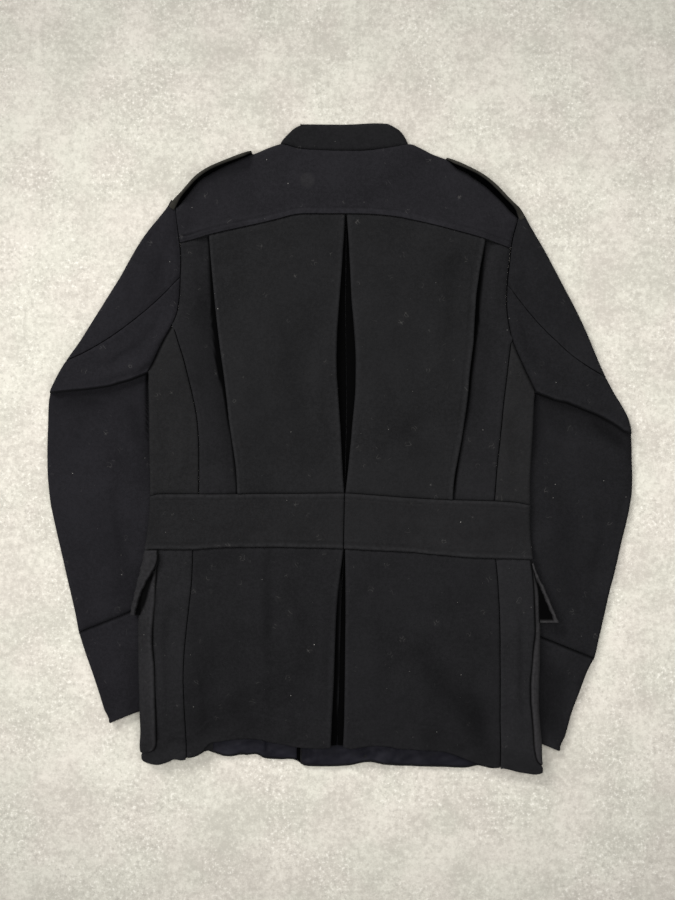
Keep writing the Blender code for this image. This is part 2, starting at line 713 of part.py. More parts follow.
def front(side, mat):
    arm = ARMHOLE[side]
    seam = SIDE_SEAM[side]
    downs = ([arm[0]["down"]] + [arm[0]["down"] + d for d in (0.25, 2.2, 7.0)]
             + [r["down"] for r in arm[1:] if r["down"] < seam[0]["down"] - 2]
             + [r["down"] for r in seam])
    rows = []
    for n, down in enumerate(downs):
        row = []
        distance = (0.0, 0.25, 2.2, 7.0)[n] if n < 4 else None
        out_x = outer_line(side, down) - side * SEAM / 2
        top_here = arm[0]["down"]
        for k, mark in enumerate(((None, None),) + front_marks(side)):
            top_x = arm[0]["x"] if k == 0 else mark[0]
            neck = abs(top_x) < 74.0
            start = (neck_start(side, top_x) if neck
                     else down_at(SHOULDER_EDGE, top_x)) + SEAM / 2
            if distance is not None:
                d = start + distance
                x = out_x if k == 0 else top_x
            elif k == 0:
                d, x = down, out_x
            else:
                v = (down - top_here - 7.0) / (seam[-1]["down"] - top_here - 7.0)
                end = down_at(BAND_TOP, mark[1])
                d = mix(start + 7.0, end, v)
                x = mix(top_x, mark[1], v)
            if n == len(downs) - 1:
                d = down_at(BAND_TOP, x) - SEAM / 2
            low = front_low(side, x, d, FRONT)
            if distance is not None:
                _, dn = round_edge(distance, 0.0, SHOULDER)
                low = mix(low, min(dn, SHOULDER / 2 - EDGE_GAP), near_neck(x))
            row.append((x, d, low))
        rows.append(row)
    sheet = Sheet("front_" + LR[side], FRONT, mat)
    return sheet.grid(rows, flip=side < 0).build()


def front_skirt_rows(side):
    rows = []
    for n, knot in enumerate(SKIRT_SEAM[side]):
        xs = [knot["x"] - side * SEAM / 2] + [mark[1] for mark in front_marks(side)]
        downs = [skirt_level(side, n, x) for x in xs]
        rows.append([(x, d, front_low(side, x, d, FRONT)) for x, d in zip(xs, downs)])
    return rows


def skirt_level(side, n, x):
    """Level n of the side seam, carried across to x."""
    if n == 0:
        return down_at(BAND_LOW, x) + SEAM / 2
    if n == len(SKIRT_SEAM[side]) - 1:
        return down_at(FRONT_HEM, x)
    return SKIRT_SEAM[side][n]["down"]


def front_skirt(side, mat):
    sheet = Sheet("front_skirt_" + LR[side], FRONT, mat)
    return sheet.grid(front_skirt_rows(side), flip=side < 0).build()


def hem_facing(side, mat):
    """Thin strip inside the front hem, made from the front's own points. The
    left one ends where the right front covers it."""
    above, hem = front_skirt_rows(side)[-2:]
    rise = FRONT + 0.5 + FACING
    rows = []
    for t in (0.15, 0.94):
        row = [tuple(mix(a, b, t) for a, b in zip(p, q)) for p, q in zip(above, hem)]
        row = [(x, d, z + rise) for x, d, z in row if side > 0 or x < -OVERLAP - 2.0]
        row[0] = (row[0][0] - side * 3.0, row[0][1], row[0][2])
        if side > 0:
            x, d, z = row[-1]
            row[-1] = (x + 2.0, d, z)
        rows.append(row)
    sheet = Sheet("hem_facing_" + LR[side], FACING, mat)
    return sheet.grid(rows, flip=side > 0).build()


# ------------------------------------------------------------------- waistband
def waistband(side, mat):
    back = ((-177.4, -183.6), (-130.5, -138.3), (-87.4, -93.0), (-44.3, -47.7),
            (-SEAM / 2, -SEAM / 2))
    if side > 0:
        back = ((180.6, 181.8), (130.5, 136.5), (87.3, 91.2), (44.0, 45.9),
                (SEAM / 2, SEAM / 2))
    front_cols = ((-177.4, -183.6),) + tuple((m[1], m[1]) for m in front_marks(-1))
    if side > 0:
        front_cols = ((180.6, 181.8),) + tuple((m[1], m[1]) for m in front_marks(1))
    top, low = [], []
    for v in (0.0, 0.5, 1.0):
        probe = mix(side * 238.0, side * 242.0, v)
        level = mix(down_at(BAND_TOP, probe) + SEAM / 2, down_at(BAND_LOW, probe) - SEAM / 2, v)
        fold = x_at(BAND_FOLD[side], level)
        z_up, z_dn = band_top(fold, level), lift(fold, level)
        radius = (z_up - z_dn) / 2.0
        row_t, row_l = [], []
        for m in (0.0, 0.3 * radius, radius):
            x = fold - side * m
            up, dn = round_edge(m, z_dn, z_up)
            row_t.append((x, level, up))
            row_l.append((x, level, dn))
        for a, b in back:
            x = mix(a, b, v)
            d = mix(down_at(BAND_TOP, x) + SEAM / 2, down_at(BAND_LOW, x) - SEAM / 2, v)
            row_t.append((x, d, band_top(x, d)))
        for a, b in front_cols:
            x = mix(a, b, v)
            d = mix(down_at(BAND_TOP, x) + SEAM / 2, down_at(BAND_LOW, x) - SEAM / 2, v)
            row_l.append((x, d, front_low(side, x, d, BAND)))
        top.append(row_t)
        low.append(row_l)
    return doubled("waistband_" + LR[side], side, BAND, mat, top, low)


# ----------------------------------------------------------------------- skirt
def skirt_back(side, mat):
    rows = []
    for n, knot in enumerate(SKIRT_SEAM[side]):
        v = share(knot["down"], knot["x"], BAND_LOW, BACK_HEM)
        v = min(1.0, max(0.0, v))
        if n == len(SKIRT_SEAM[side]) - 1:
            v = 1.0
        row = []

        def at(x):
            return mix(down_at(BAND_LOW, x) + SEAM / 2, down_at(BACK_HEM, x), v)

        level = at(x_at(VENT[side], mix(483.0, 723.0, v)))
        edge = x_at(VENT[side], level)
        shape = inverted_pleat(side, VENT, level, PLEAT_DEPTH,
                               band_top(edge, level), back_base(edge, level))
        for px, pz in shape:
            row.append((px, at(px), pz))
        for u in (0.25, 0.5, 0.75):
            x = mix(edge, knot["x"], u)
            row.append((x, at(x), band_top(x, at(x))))
        x = knot["x"] - side * SEAM / 2
        row.append((x, at(x), band_top(x, at(x))))
        rows.append(row)
    sheet = Sheet("skirt_back_" + LR[side], BACK, mat)
    return sheet.grid(rows, flip=side < 0).build()


def skirt_levels(side):
    return [r["down"] for r in SKIRT_SEAM[side]]


def skirt_side(side, mat):
    seam = SKIRT_SEAM[side]
    top, low = [], []
    for n, knot in enumerate(seam):

        def at(x):
            return skirt_level(side, n, x)

        fold = x_at(SKIRT_FOLD[side], at(side * 240.0))
        level = at(fold)
        z_up, z_dn = band_top(fold, level), lift(fold, level)
        radius = (z_up - z_dn) / 2.0
        inner = knot["x"] + side * SEAM / 2
        row_t, row_l = [], []
        width = side * (fold - inner)
        for m in (0.0, 0.3 * radius, radius, mix(radius, width, 0.5), width):
            x = fold - side * m
            up, dn = round_edge(m, z_dn, z_up)
            if m >= radius:
                up, dn = band_top(x, at(x)), lift(x, at(x))
            row_t.append((x, at(x), up))
            row_l.append((x, at(x), dn))
        top.append(row_t)
        low.append(row_l)
    return doubled("skirt_side_" + LR[side], side, BACK, mat, top, low)


def wrap_rows(side, levels, fold_of, rear_of, step):
    """A piece that lies step above and below the skirt, round its side."""
    top, low = [], []
    for down in levels:
        fold = fold_of(down)
        body = x_at(SKIRT_FOLD[side], down)
        z_up = band_top(body, down) + step
        z_dn = lift(body, down) - step
        radius = (z_up - z_dn) / 2.0
        rear = rear_of(down)
        width = side * (fold - rear)
        marks = [0.0, 0.3 * radius, radius]
        if width < radius * 1.15:
            marks = [0.0, 0.25 * width, 0.6 * width]
        row_t, row_l = [], []
        for m in marks + [width]:
            x = fold - side * m
            up, _ = round_edge(m, z_dn, z_up)
            if m > radius:
                up = band_top(x, down) + step
            row_t.append((x, down, up))
        seam = x_at(SKIRT_SEAM[side], down)
        for m in marks:
            _, dn = round_edge(m, z_dn, z_up)
            row_l.append((fold - side * m, down, dn))
        if width < radius * 1.15:
            x = fold - side * radius * 1.02
            row_l.append((x, down, z_dn))
        else:
            x = fold - side * radius * 1.3
            row_l.append((x, down, z_dn))
        for x in [mix(body, seam, 0.5), seam] + [m[1] for m in front_marks(side)[:3]]:
            row_l.append((x, down, lift(x, down) - step))
        top.append(row_t)
        low.append(row_l)
    return top, low


def pocket(side, mat):
    data = POCKET[side]
    levels = [data["rear"][0]["down"]]
    levels += [d for d in skirt_levels(side) if levels[0] + 5 < d < data["low"] - 5]
    levels += [data["low"] - 7.0, data["low"]]
    top, low = wrap_rows(side, levels,
                         lambda d: x_at(SKIRT_FOLD[side], d) + side * (PLY + 0.4),
                         lambda d: x_at(data["rear"], d), PLY)
    return doubled("pocket_" + LR[side], side, BACK, mat, top, low)


def flap(side, mat):
    rows = FLAP[side]
    levels = [r["down"] for r in rows]
    top, low = wrap_rows(side, levels,
                         lambda d: along(pairs(rows, "down", "fold"), d),
                         lambda d: along(pairs(rows, "down", "rear"), d), 2 * PLY)
    return doubled("pocket_flap_" + LR[side], side, BACK, mat, top, low)


# --------------------------------------------------------------------- sleeves
def sleeve_row(side, at, half=False):
    """Upper and lower points of one line across a sleeve. at may lie between
    two rows of the table."""
    rows = SLEEVE[side]
    i = min(int(at), len(rows) - 2)
    f = at - i
    a, b = rows[i], rows[i + 1]
    r = {k: mix(a[k], b[k], f) for k in a}
    below = at > ARMPIT_ROW + 0.5
    dx, dd = r["in_x"] - r["out_x"], r["in_d"] - r["out_d"]
    width = math.hypot(dx, dd)
    high = r["high"]
    radius = high / 2.0
    edge = min(radius, width * 0.3)
    marks = [0.0, 0.05 * edge, 0.4 * edge, edge, mix(edge, width - edge, 0.33),
             mix(edge, width - edge, 0.66)]
    marks += [width - edge, width - 0.4 * edge, width - 0.05 * edge - (0.0 if below else SEAM),
              width - (0.0 if below else 0.6)]
    top, low = [], []
    arm_z = lift(r["in_x"], r["in_d"])
    if r["in_d"] < down_at(YOKE_SEAM, r["in_x"]):
        body_z = yoke_top(r["in_x"], r["in_d"])
    else:
        body_z = side_top(r["in_x"], r["in_d"])
    for m in marks:
        t = m / width
        x = r["out_x"] + dx * t
        d = r["out_d"] + dd * t + 4.0 * r["bow"] * t * (1.0 - t)
        up, dn = round_edge(m, 0.0, high)
        if below:
            up2, dn2 = round_edge(width - m, 0.0, high)
            up, dn = min(up, up2), max(dn, dn2)
        elif at > 0.0:
            near = ease((t - 0.5) / 0.5)
            up = mix(up, body_z, near)
            dn = mix(dn, arm_z, near)
        if at == 0.0:
            up = dn = high / 2.0
        top.append([x, d, up])
        low.append([x, d, dn])
    return top, low


def sleeve(side, mat_upper, mat_under):
    last = len(SLEEVE[side]) - 1
    seam = HIND_SEAM_ROW
    ats = sorted([0.2] + [float(n) for n in range(last + 1)])
    upper = Sheet("sleeve_upper_" + LR[side], BACK, mat_upper)
    under = Sheet("sleeve_under_" + LR[side], BACK, mat_under)
    head, back, belly = [], [], []
    for at in ats:
        top, low = sleeve_row(side, at)
        apart = EDGE_GAP + (0.55 if at == ARMPIT_ROW + 1 else 0.15)
        if at <= seam:
            head.append([tuple(p) for p in top])
        if at >= seam:
            row = [list(p) for p in top]
            for p in row:
                if at == seam:
                    p[1] += SEAM + 0.2
            row[0][2] += EDGE_GAP + 0.15
            if at > ARMPIT_ROW + 0.5:
                row[-1][2] += apart
            back.append([tuple(p) for p in row])
        row = [list(p) for p in low]
        if at > seam:
            row[0][2] -= EDGE_GAP + 0.15
        if at > ARMPIT_ROW + 0.5:
            row[-1][2] -= apart
        belly.append([tuple(p) for p in row])
    upper.grid(head, flip=side > 0)
    upper.grid(belly, flip=side < 0)
    under.grid(back, flip=side > 0)
    return upper.build(), under.build()


def cuff(side, mat):
    top12, low12 = sleeve_row(side, float(len(SLEEVE[side]) - 1))
    hem = CUFF_HEM[side]
    dx, dd = hem["in_x"] - hem["out_x"], hem["in_d"] - hem["out_d"]
    width = math.hypot(dx, dd)
    first = SLEEVE[side][-1]
    wide0 = math.hypot(first["in_x"] - first["out_x"], first["in_d"] - first["out_d"])
    rows_t, rows_l = [], []
    for v in (0.0, 0.5, 1.0):
        row_t, row_l = [], []
        for a, b in zip(top12, low12):
            start = math.hypot(a[0] - first["out_x"], a[1] - first["out_d"])
            t = min(1.0, start / wide0)
            hx, hd = hem["out_x"] + dx * t, hem["out_d"] + dd * t
            ux, ud = hx - a[0], hd - a[1]
            long = math.hypot(ux, ud)
            s = CUFF_GAP / long
            x, d = a[0] + ux * mix(s, 1.0, v), a[1] + ud * mix(s, 1.0, v)
            row_t.append((x, d, a[2]))
            row_l.append((x, d, b[2]))
        rows_t.append(row_t)
        rows_l.append(row_l)
    return doubled("cuff_" + LR[side], side, FRONT, mat, rows_t, rows_l)


def shoulder_strap(side, mat):
    path = [(r["x"], r["down"]) for r in SHOULDER_STRAP[side]]
    points = []
    for (xa, da), (xb, db) in zip(path, path[1:]):
        points += [(xa, da), (mix(xa, xb, 0.5), mix(da, db, 0.5))]
    points.append(path[-1])
    rows = []
    for n, (x, d) in enumerate(points):
        inset = (9.0, 2.5)[n] if n < 2 else 0.4
        rows.append([(x, d, mix(inset, STRAP_WIDE - inset, t)) for t in (0.0, 0.33, 0.67, 1.0)])
    sheet = Sheet("shoulder_strap_" + LR[side], STRAP, mat)
    return sheet.grid(rows, flip=side < 0).build()


def button(index, down, mat):
    bpy.ops.mesh.primitive_cylinder_add(vertices=20, radius=BUTTON_D / 2 * MM,
                                        depth=BUTTON_T * MM,
                                        location=(BUTTON_X * MM, -down * MM, BUTTON_T / 2 * MM))
    obj = bpy.context.active_object
    obj.name = "button_%d" % index
    for collection in list(obj.users_collection):
        collection.objects.unlink(obj)
    PARTS.objects.link(obj)
    obj.data.materials.append(mat)
    bevel = obj.modifiers.new("Rim", "BEVEL")
    bevel.width = 0.5 * MM
    bevel.segments = 1
    obj.parent = ROOT
    return obj


# -------------------------------------------------------------------- assembly
LR = {-1: "L", +1: "R"}

for old in list(bpy.data.objects):
    bpy.data.objects.remove(old, do_unlink=True)

PARTS = bpy.data.collections.new("officer_jacket")
bpy.context.scene.collection.children.link(PARTS)
ROOT = bpy.data.objects.new("jacket_root", None)
PARTS.objects.link(ROOT)

WOOL = material("wool_melton", (0.018, 0.018, 0.021), 0.95)
WOOL_SIDE = material("wool_melton_side", (0.020, 0.020, 0.023), 0.95)
WOOL_TRIM = material("wool_melton_trim", (0.023, 0.023, 0.026), 0.95)
LINING = material("facing_cloth", (0.016, 0.015, 0.020), 0.6)
HORN = material("button_horn", (0.012, 0.012, 0.013), 0.35)

collar(WOOL_TRIM)
yoke(WOOL)
for side in (-1, 1):
    back_centre(side, WOOL)
    back_side(side, WOOL_SIDE)
    side_panel(side, WOOL)
    waistband(side, WOOL_TRIM)
    skirt_back(side, WOOL)
    skirt_side(side, WOOL_SIDE)
    pocket(side, WOOL_TRIM)
    flap(side, WOOL_TRIM)
    front(side, WOOL)
    front_skirt(side, WOOL)
    hem_facing(side, LINING)
    sleeve(side, WOOL, WOOL_SIDE)
    cuff(side, WOOL_TRIM)
    shoulder_strap(side, WOOL_TRIM)
for n, down in enumerate((60.0, 175.0, 290.0, 405.0, 520.0)):
    button(n + 1, down, HORN)


def centre_on_origin():
    """Moves the whole jacket so that the underside's middle is the origin."""
    bpy.context.view_layer.update()
    graph = bpy.context.evaluated_depsgraph_get()
    low, high = Vector((1e9,) * 3), Vector((-1e9,) * 3)
    for obj in PARTS.objects:
        if obj.type != "MESH":
            continue
        seen = obj.evaluated_get(graph)
        for corner in seen.to_mesh().vertices:
            point = seen.matrix_world @ corner.co
            for axis in range(3):
                low[axis] = min(low[axis], point[axis])
                high[axis] = max(high[axis], point[axis])
        seen.to_mesh_clear()
    ROOT.location = (-(low.x + high.x) / 2, -(low.y + high.y) / 2, -low.z)
    print("moved by mm", [round(c / MM, 3) for c in ROOT.location])


centre_on_origin()
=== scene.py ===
"""Looks of the officer jacket, laid on its front with its back up.

Lengths are in millimetres from the centre-back line (x) and from the nape
(d, towards the hem); z is the height over the surface. place() turns them into
the frame's metres. Left (-1) and right (+1) are the wearer's.
"""
import math

import bpy
import numpy as np
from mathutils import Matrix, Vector


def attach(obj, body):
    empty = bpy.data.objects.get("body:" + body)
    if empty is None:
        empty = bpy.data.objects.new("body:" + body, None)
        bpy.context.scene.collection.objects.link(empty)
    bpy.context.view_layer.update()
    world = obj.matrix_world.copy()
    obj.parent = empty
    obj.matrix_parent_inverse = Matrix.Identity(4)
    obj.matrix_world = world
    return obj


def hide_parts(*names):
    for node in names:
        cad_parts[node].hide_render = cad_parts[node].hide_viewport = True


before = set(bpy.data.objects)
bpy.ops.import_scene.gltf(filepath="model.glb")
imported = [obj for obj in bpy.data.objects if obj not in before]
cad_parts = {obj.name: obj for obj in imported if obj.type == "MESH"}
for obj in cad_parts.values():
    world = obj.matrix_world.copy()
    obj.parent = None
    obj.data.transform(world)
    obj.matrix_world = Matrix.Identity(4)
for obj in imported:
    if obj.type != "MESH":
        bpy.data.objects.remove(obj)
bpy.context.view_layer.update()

MM = 0.001
PX = 1.22                      # mm for one unit of the outline tables
MOVE = (6.1, 361.261)          # jacket lines to the frame
FRONT, BACK, BAND, COLLAR, STRAP, FACING = 2.2, 2.0, 2.4, 3.0, 4.2, 1.0
REST = 0.4
PLY = BACK + REST + 0.4
SLEEVE_FLAT = 8.0
PLEAT_STEP = 3 * BACK + 2 * REST + 0.8
BUTTON_LIFT = 2.7
BASE_CENTRE = 2 * FRONT + BUTTON_LIFT + 0.3 + REST
BASE_SIDE = FRONT + REST + 1.2
SIDE_HIGH = 6.8
SHOULDER = 14.0
OVERLAP = 54.0
EDGE = 0.80                    # from a seam line to the cloth's flat edge
LR = {-1: "L", 1: "R"}


# ------------------------------------------------------------ smooth tables
class Line:
    """Smooth line through table rows, read by its first column."""

    def __init__(self, rows):
        p = np.array(sorted(rows), float)
        keep = np.concatenate([[True], np.diff(p[:, 0]) > 1e-6])
        self.t, self.v = p[keep, 0], p[keep, 1]
        h, s = np.diff(self.t), np.diff(self.v) / np.diff(self.t)
        m = np.empty(len(self.t))
        m[0], m[-1] = s[0], s[-1]
        for i in range(1, len(m) - 1):
            a, b = s[i - 1], s[i]
            w1, w2 = 2 * h[i] + h[i - 1], h[i] + 2 * h[i - 1]
            m[i] = 0.0 if a * b <= 0 else (w1 + w2) / (w1 / a + w2 / b)
        self.m = m

    def __call__(self, at):
        at = np.clip(np.asarray(at, float), self.t[0], self.t[-1])
        i = np.clip(np.searchsorted(self.t, at) - 1, 0, len(self.t) - 2)
        h = self.t[i + 1] - self.t[i]
        u = (at - self.t[i]) / h
        u2, u3 = u * u, u * u * u
        return ((2 * u3 - 3 * u2 + 1) * self.v[i] + (u3 - 2 * u2 + u) * h * self.m[i]
                + (3 * u2 - 2 * u3) * self.v[i + 1] + (u3 - u2) * h * self.m[i + 1])


def mx(u):
    return (u - 345.0) * PX


def md(v):
    return (v - 152.5) * PX


def down(*rows):
    """x as a line of d, from outline points (across, down)."""
    return Line([(md(v), mx(u)) for u, v in rows])


def across(*rows):
    """d as a line of x, from outline points (across, down)."""
    return Line([(mx(u), md(v)) for u, v in rows])


def ease(t):
    t = np.clip(t, 0.0, 1.0)
    return t * t * (3.0 - 2.0 * t)


def mix(a, b, t):
    return a + (b - a) * t


def bell(t):
    return np.exp(-t * t)


# Outlines, in outline units (675 wide, 900 high).
SIL = {
    -1: down((181, 192), (176, 197), (172, 200), (168, 207), (160, 217), (150, 229), (140, 243),
             (130, 260), (120, 278), (110, 294), (100, 310), (90, 326), (80, 342), (70, 356),
             (62, 368), (55, 381), (50.5, 392), (48.6, 404), (48, 425), (47.3, 450), (47.5, 470),
             (49, 490), (50.5, 503), (54, 520), (58, 538), (62, 555), (66, 573), (70, 590),
             (75, 612), (79, 632), (85, 652), (92, 672), (98, 690), (103, 706), (107, 719),
             (109, 723)),
    1: down((515, 204), (519, 208), (522.5, 213), (528, 223), (535, 235), (545, 252), (555, 271),
            (565, 290), (575, 309), (585, 330), (595, 354), (600, 366), (607, 381), (615, 395.5),
            (622, 407), (627.5, 418), (630.5, 429), (631.6, 442), (631.8, 460), (632.3, 474),
            (632, 490), (630, 505), (627, 520), (622, 540), (618, 558), (614, 575), (610, 590),
            (605, 612), (600, 634), (594, 658), (588, 670), (580, 691), (572, 712), (567, 730),
            (562, 746), (560.5, 750)),
}
ARM = {
    -1: down((172, 200), (176, 209), (177.3, 222), (179, 237), (180.5, 250), (181, 262),
             (180.5, 275), (180, 290), (179.3, 300), (178, 310), (175, 320), (171, 329),
             (166, 338), (162, 346), (158, 355), (154, 364), (150, 371)),
    1: down((520, 208), (518, 217), (515, 228), (512.5, 238), (511, 248), (509.5, 262), (508, 275),
            (507, 290), (506.6, 301), (507, 313), (508.5, 326), (510.7, 338), (514, 348),
            (519, 360), (524, 371), (529, 381), (534, 391)),
}
SIDE_SEAM = {
    -1: down((174, 326), (179, 342), (185, 361), (190, 382), (194, 399), (197, 414), (199, 431),
             (200, 450), (199.8, 470), (199.5, 494)),
    1: down((510.5, 339), (507.5, 361), (505, 384), (502, 410), (499, 440), (496, 467),
            (493, 501)),
}
SIDE_FOLD = {
    -1: down((150, 371), (149.6, 385), (150, 405), (150.3, 425), (150.5, 460), (151, 480),
             (151, 496)),
    1: down((534, 391), (533.2, 402), (532.2, 420), (531.2, 440), (530, 460), (529, 480),
            (529, 506)),
}
KNIFE = {
    -1: down((209, 233), (211, 258), (213, 280), (215, 301), (217, 320), (219.3, 340), (222, 360),
             (224.3, 376), (226, 390), (227.4, 402), (229.2, 419), (231, 431), (233.3, 446),
             (235.5, 460), (237, 475), (238, 496)),
    1: down((485.5, 237), (482.5, 254), (480, 267), (478, 281), (476, 296), (475, 310),
            (474, 326), (473, 344), (471.5, 356), (470.2, 366), (469, 376), (468, 390),
            (466, 408), (464, 421), (462, 434), (460, 445), (458, 455), (456, 465), (454, 476),
            (452.5, 490), (452, 501)),
}
PLEAT = {
    -1: down((345, 215), (344.2, 235), (343, 251), (341.8, 270), (340.6, 286), (339.5, 301),
             (338.4, 316), (337.4, 331), (336.9, 345), (336.6, 360), (337, 376), (338, 391),
             (339, 406), (340, 420), (341, 436), (341.7, 451), (342.3, 462), (343, 475),
             (344.3, 494)),
    1: down((346.5, 215), (348.3, 239), (349.5, 260), (350.5, 280), (351.4, 300), (352.7, 315),
            (354, 331), (355, 346), (355.6, 361), (355.5, 378), (355, 394), (353.9, 407),
            (352.6, 420), (351, 439), (349.4, 455), (348, 469), (346.6, 481), (345.2, 494)),
}
VENT = {
    -1: down((343.6, 547), (342, 561), (340, 576), (338.3, 590), (337, 605), (336, 621),
             (335.3, 640), (334.6, 660), (334, 680), (333, 700), (332, 720), (331, 744)),
    1: down((344.8, 547), (345.3, 580), (345.4, 610), (345.1, 640), (344.7, 680), (344, 720),
            (343, 744)),
}
SKIRT_SEAM = {
    -1: down((194.5, 548), (193.2, 580), (191, 603), (187.6, 630), (185.2, 656), (184.6, 676),
             (185.4, 700), (186.3, 722), (187, 757)),
    1: down((494, 557), (496, 581), (497.6, 610), (498.5, 650), (499, 680), (498.6, 715),
            (499, 766)),
}
SKIRT_FOLD = {
    -1: down((147.5, 548), (145.6, 562), (143.6, 580), (141.6, 600), (140.6, 615), (140, 640),
             (140.2, 665), (140.8, 690), (141.4, 712), (142, 728), (140.6, 746), (141.8, 757)),
    1: down((530.5, 557), (533, 568), (535.3, 579), (537, 592), (537.8, 620), (538.2, 655),
            (537.4, 685), (537.2, 705), (538.2, 722), (540, 741), (540.4, 757), (541.6, 768)),
}
YOKE = across((180, 243), (195, 239.2), (207, 235.8), (225, 231.3), (243, 227.4), (260, 223.9),
              (280, 219.8), (292, 216.9), (302, 215.5), (325, 215.2), (346, 215), (365, 215.2),
              (382, 216.2), (400, 218.3), (412, 220.8), (425, 223.7), (440, 227.3), (452, 230.5),
              (465, 234), (480, 238.2), (495, 243), (511, 248.5))
BAND_TOP = across((148, 496.5), (152, 495.8), (160, 494), (190, 493.8), (220, 494), (260, 493.6),
                  (290, 493.5), (344, 493), (365, 494.3), (382, 495.6), (400, 497), (430, 499),
                  (451, 499.7), (475, 500.3), (495, 500.9), (512, 502), (532, 505.5))
BAND_LOW = across((144, 549), (160, 548.2), (180, 548.4), (196, 548.3), (210, 547.2), (230, 546.2),
                  (265, 546.4), (300, 547), (344, 548), (365, 549.2), (400, 551), (420, 552.2),
                  (440, 553.9), (456, 555.2), (472, 556.4), (490, 557.1), (512, 557.6), (534, 558.2))
NECK = across((283, 144.5), (289, 147), (300, 150), (320, 151.8), (345, 152.5), (365, 152),
              (381, 150.4), (394, 148.6), (402, 147), (409, 145))
SHOULDER_TOP = across((172, 200.5), (178, 208), (183, 202), (190, 193), (200, 181.5), (210, 175),
                      (225, 167), (240, 160), (250, 155.8), (257, 153.4), (270, 148), (283, 144.5),
                      (345, 150), (409, 145), (420, 149), (430, 154), (440, 158), (449, 161.8),
                      (455, 168), (465, 173), (475, 180), (485, 187), (495, 196), (503, 204),
                      (510, 212), (517, 218.5), (521, 222))
BACK_HEM = across((183, 757.5), (190, 755), (197, 753), (203, 749), (207, 744), (211, 741),
                  (220, 739.6), (235, 737.6), (250, 736.8), (262, 737.4), (270, 740), (282, 741.4),
                  (298, 744.4), (320, 745.6), (332, 744.5), (343, 744), (350, 746), (360, 744.6),
                  (375, 743.2), (390, 743.8), (397, 745.6), (420, 747), (445, 750.2), (458, 754.4),
                  (470, 759), (484, 763), (499, 765.5))
FRONT_HEM = across((141, 757), (145, 760.2), (152, 762.3), (158, 763), (164, 762), (170, 759.8),
                   (175, 757.2), (182, 758.2), (190, 757.6), (197, 755.6), (203, 752), (207, 750.2),
                   (213, 752), (218, 753.6), (224, 755.6), (230, 756), (236, 755.2), (241, 754),
                   (247, 754.6), (255, 753.7), (260, 755), (264, 757.8), (270, 759), (280, 759.6),
                   (290, 759.2), (297, 760.8), (301, 763.4), (305, 765.4), (312, 766), (330, 766.2),
                   (350, 765), (357, 763), (365, 761.4), (371, 761), (378, 762.5), (385, 764),
                   (392, 765), (410, 766), (430, 766.2), (445, 766.6), (465, 767.4), (472, 766),
                   (478, 764.6), (485, 766), (492, 767.4), (498, 767), (502, 765.7), (508, 767),
                   (515, 769), (525, 770.6), (533, 771.8), (541.5, 770))
# Inner edges of the dark gaps in front of the knife pleats.
KNIFE_GAP = {
    -1: down((208.5, 233), (209, 258), (209.6, 280), (210.4, 300), (211.4, 320), (213.5, 340),
             (215.2, 360), (218, 375), (221, 385), (224.3, 400), (227.6, 420), (232.3, 445),
             (237.5, 496)),
    1: down((486, 237), (485, 246), (484, 260), (482.2, 280), (480.2, 300), (479, 320),
            (476.6, 340), (475, 355), (472.6, 372), (470.8, 386), (469, 400), (466.8, 415),
            (461, 445), (452.6, 500)),
}

# Sleeves: lines across from the outer edge to the armhole or inner fold.
# out d, in x, in d, sag, height in the middle.
SLEEVE = {
    -1: [(58.0, -206.4, 68.0, 0.0, 11.0), (93.3, -202.7, 100.7, 1.0, 12.0),
         (131.2, -200.7, 119.0, 4.0, 12.0), (188.5, -201.0, 136.0, 9.0, 12.0),
         (254.4, -201.3, 151.9, 13.0, 12.5), (272.7, -206.2, 201.9, 10.0, 13.0),
         (283.7, -218.4, 234.9, 6.0, 13.5), (292.0, -237.9, 266.6, 3.5, 14.5),
         (300.0, -239.4, 276.0, 3.0, 7.5), (345.0, -218.0, 310.0, 0.0, 8.4),
         (400.0, -196.0, 365.0, 0.0, 8.2), (491.1, -180.6, 452.0, 0.0, 8.0),
         (585.0, -172.0, 524.0, 0.0, 8.0)],
    1: [(69.5, 210.7, 79.9, 0.0, 11.0), (111.6, 205.2, 106.8, 1.0, 12.0),
        (156.8, 201.3, 126.3, 4.0, 12.0), (211.7, 200.1, 143.4, 9.0, 12.0),
        (275.1, 198.9, 161.7, 14.0, 12.5), (294.6, 199.5, 212.9, 11.0, 13.0),
        (314.2, 207.4, 242.2, 5.0, 13.5), (341.0, 230.6, 291.0, -4.0, 14.5),
        (352.0, 231.4, 301.0, -5.0, 7.5), (385.0, 210.0, 335.0, 0.0, 8.4),
        (430.0, 187.0, 380.0, 0.0, 8.2), (527.7, 164.7, 483.7, 0.0, 8.0),
        (616.7, 151.3, 554.5, 0.0, 8.0)],
}
ARMPIT = {-1: 266.6, 1: 291.0}
CUFF_HEM = {-1: (-287.9, 695.6, -146.4, 637.5), 1: (262.6, 729.4, 120.8, 671.6)}
POCKET_REAR = {
    -1: down((160.6, 548), (160, 560), (159, 571), (158.4, 582), (158, 598), (156.6, 612),
             (155.3, 626), (154.6, 640), (155.4, 652), (156.6, 663), (157.2, 682), (157.6, 701),
             (158.2, 716), (158.3, 732), (157.8, 742), (155.8, 747.5), (152.5, 749.6),
             (149, 750.4)),
    1: down((529.4, 558), (530.2, 575), (531.2, 590), (532.2, 612), (532.6, 630), (531, 646),
            (529.4, 665), (528.2, 681), (528.3, 697), (529.4, 712), (530.4, 726), (531.2, 741),
            (533, 753), (535.6, 758.5), (538.2, 760.4)),
}
POCKET_FRONT = {-1: -104.0, 1: 96.0}
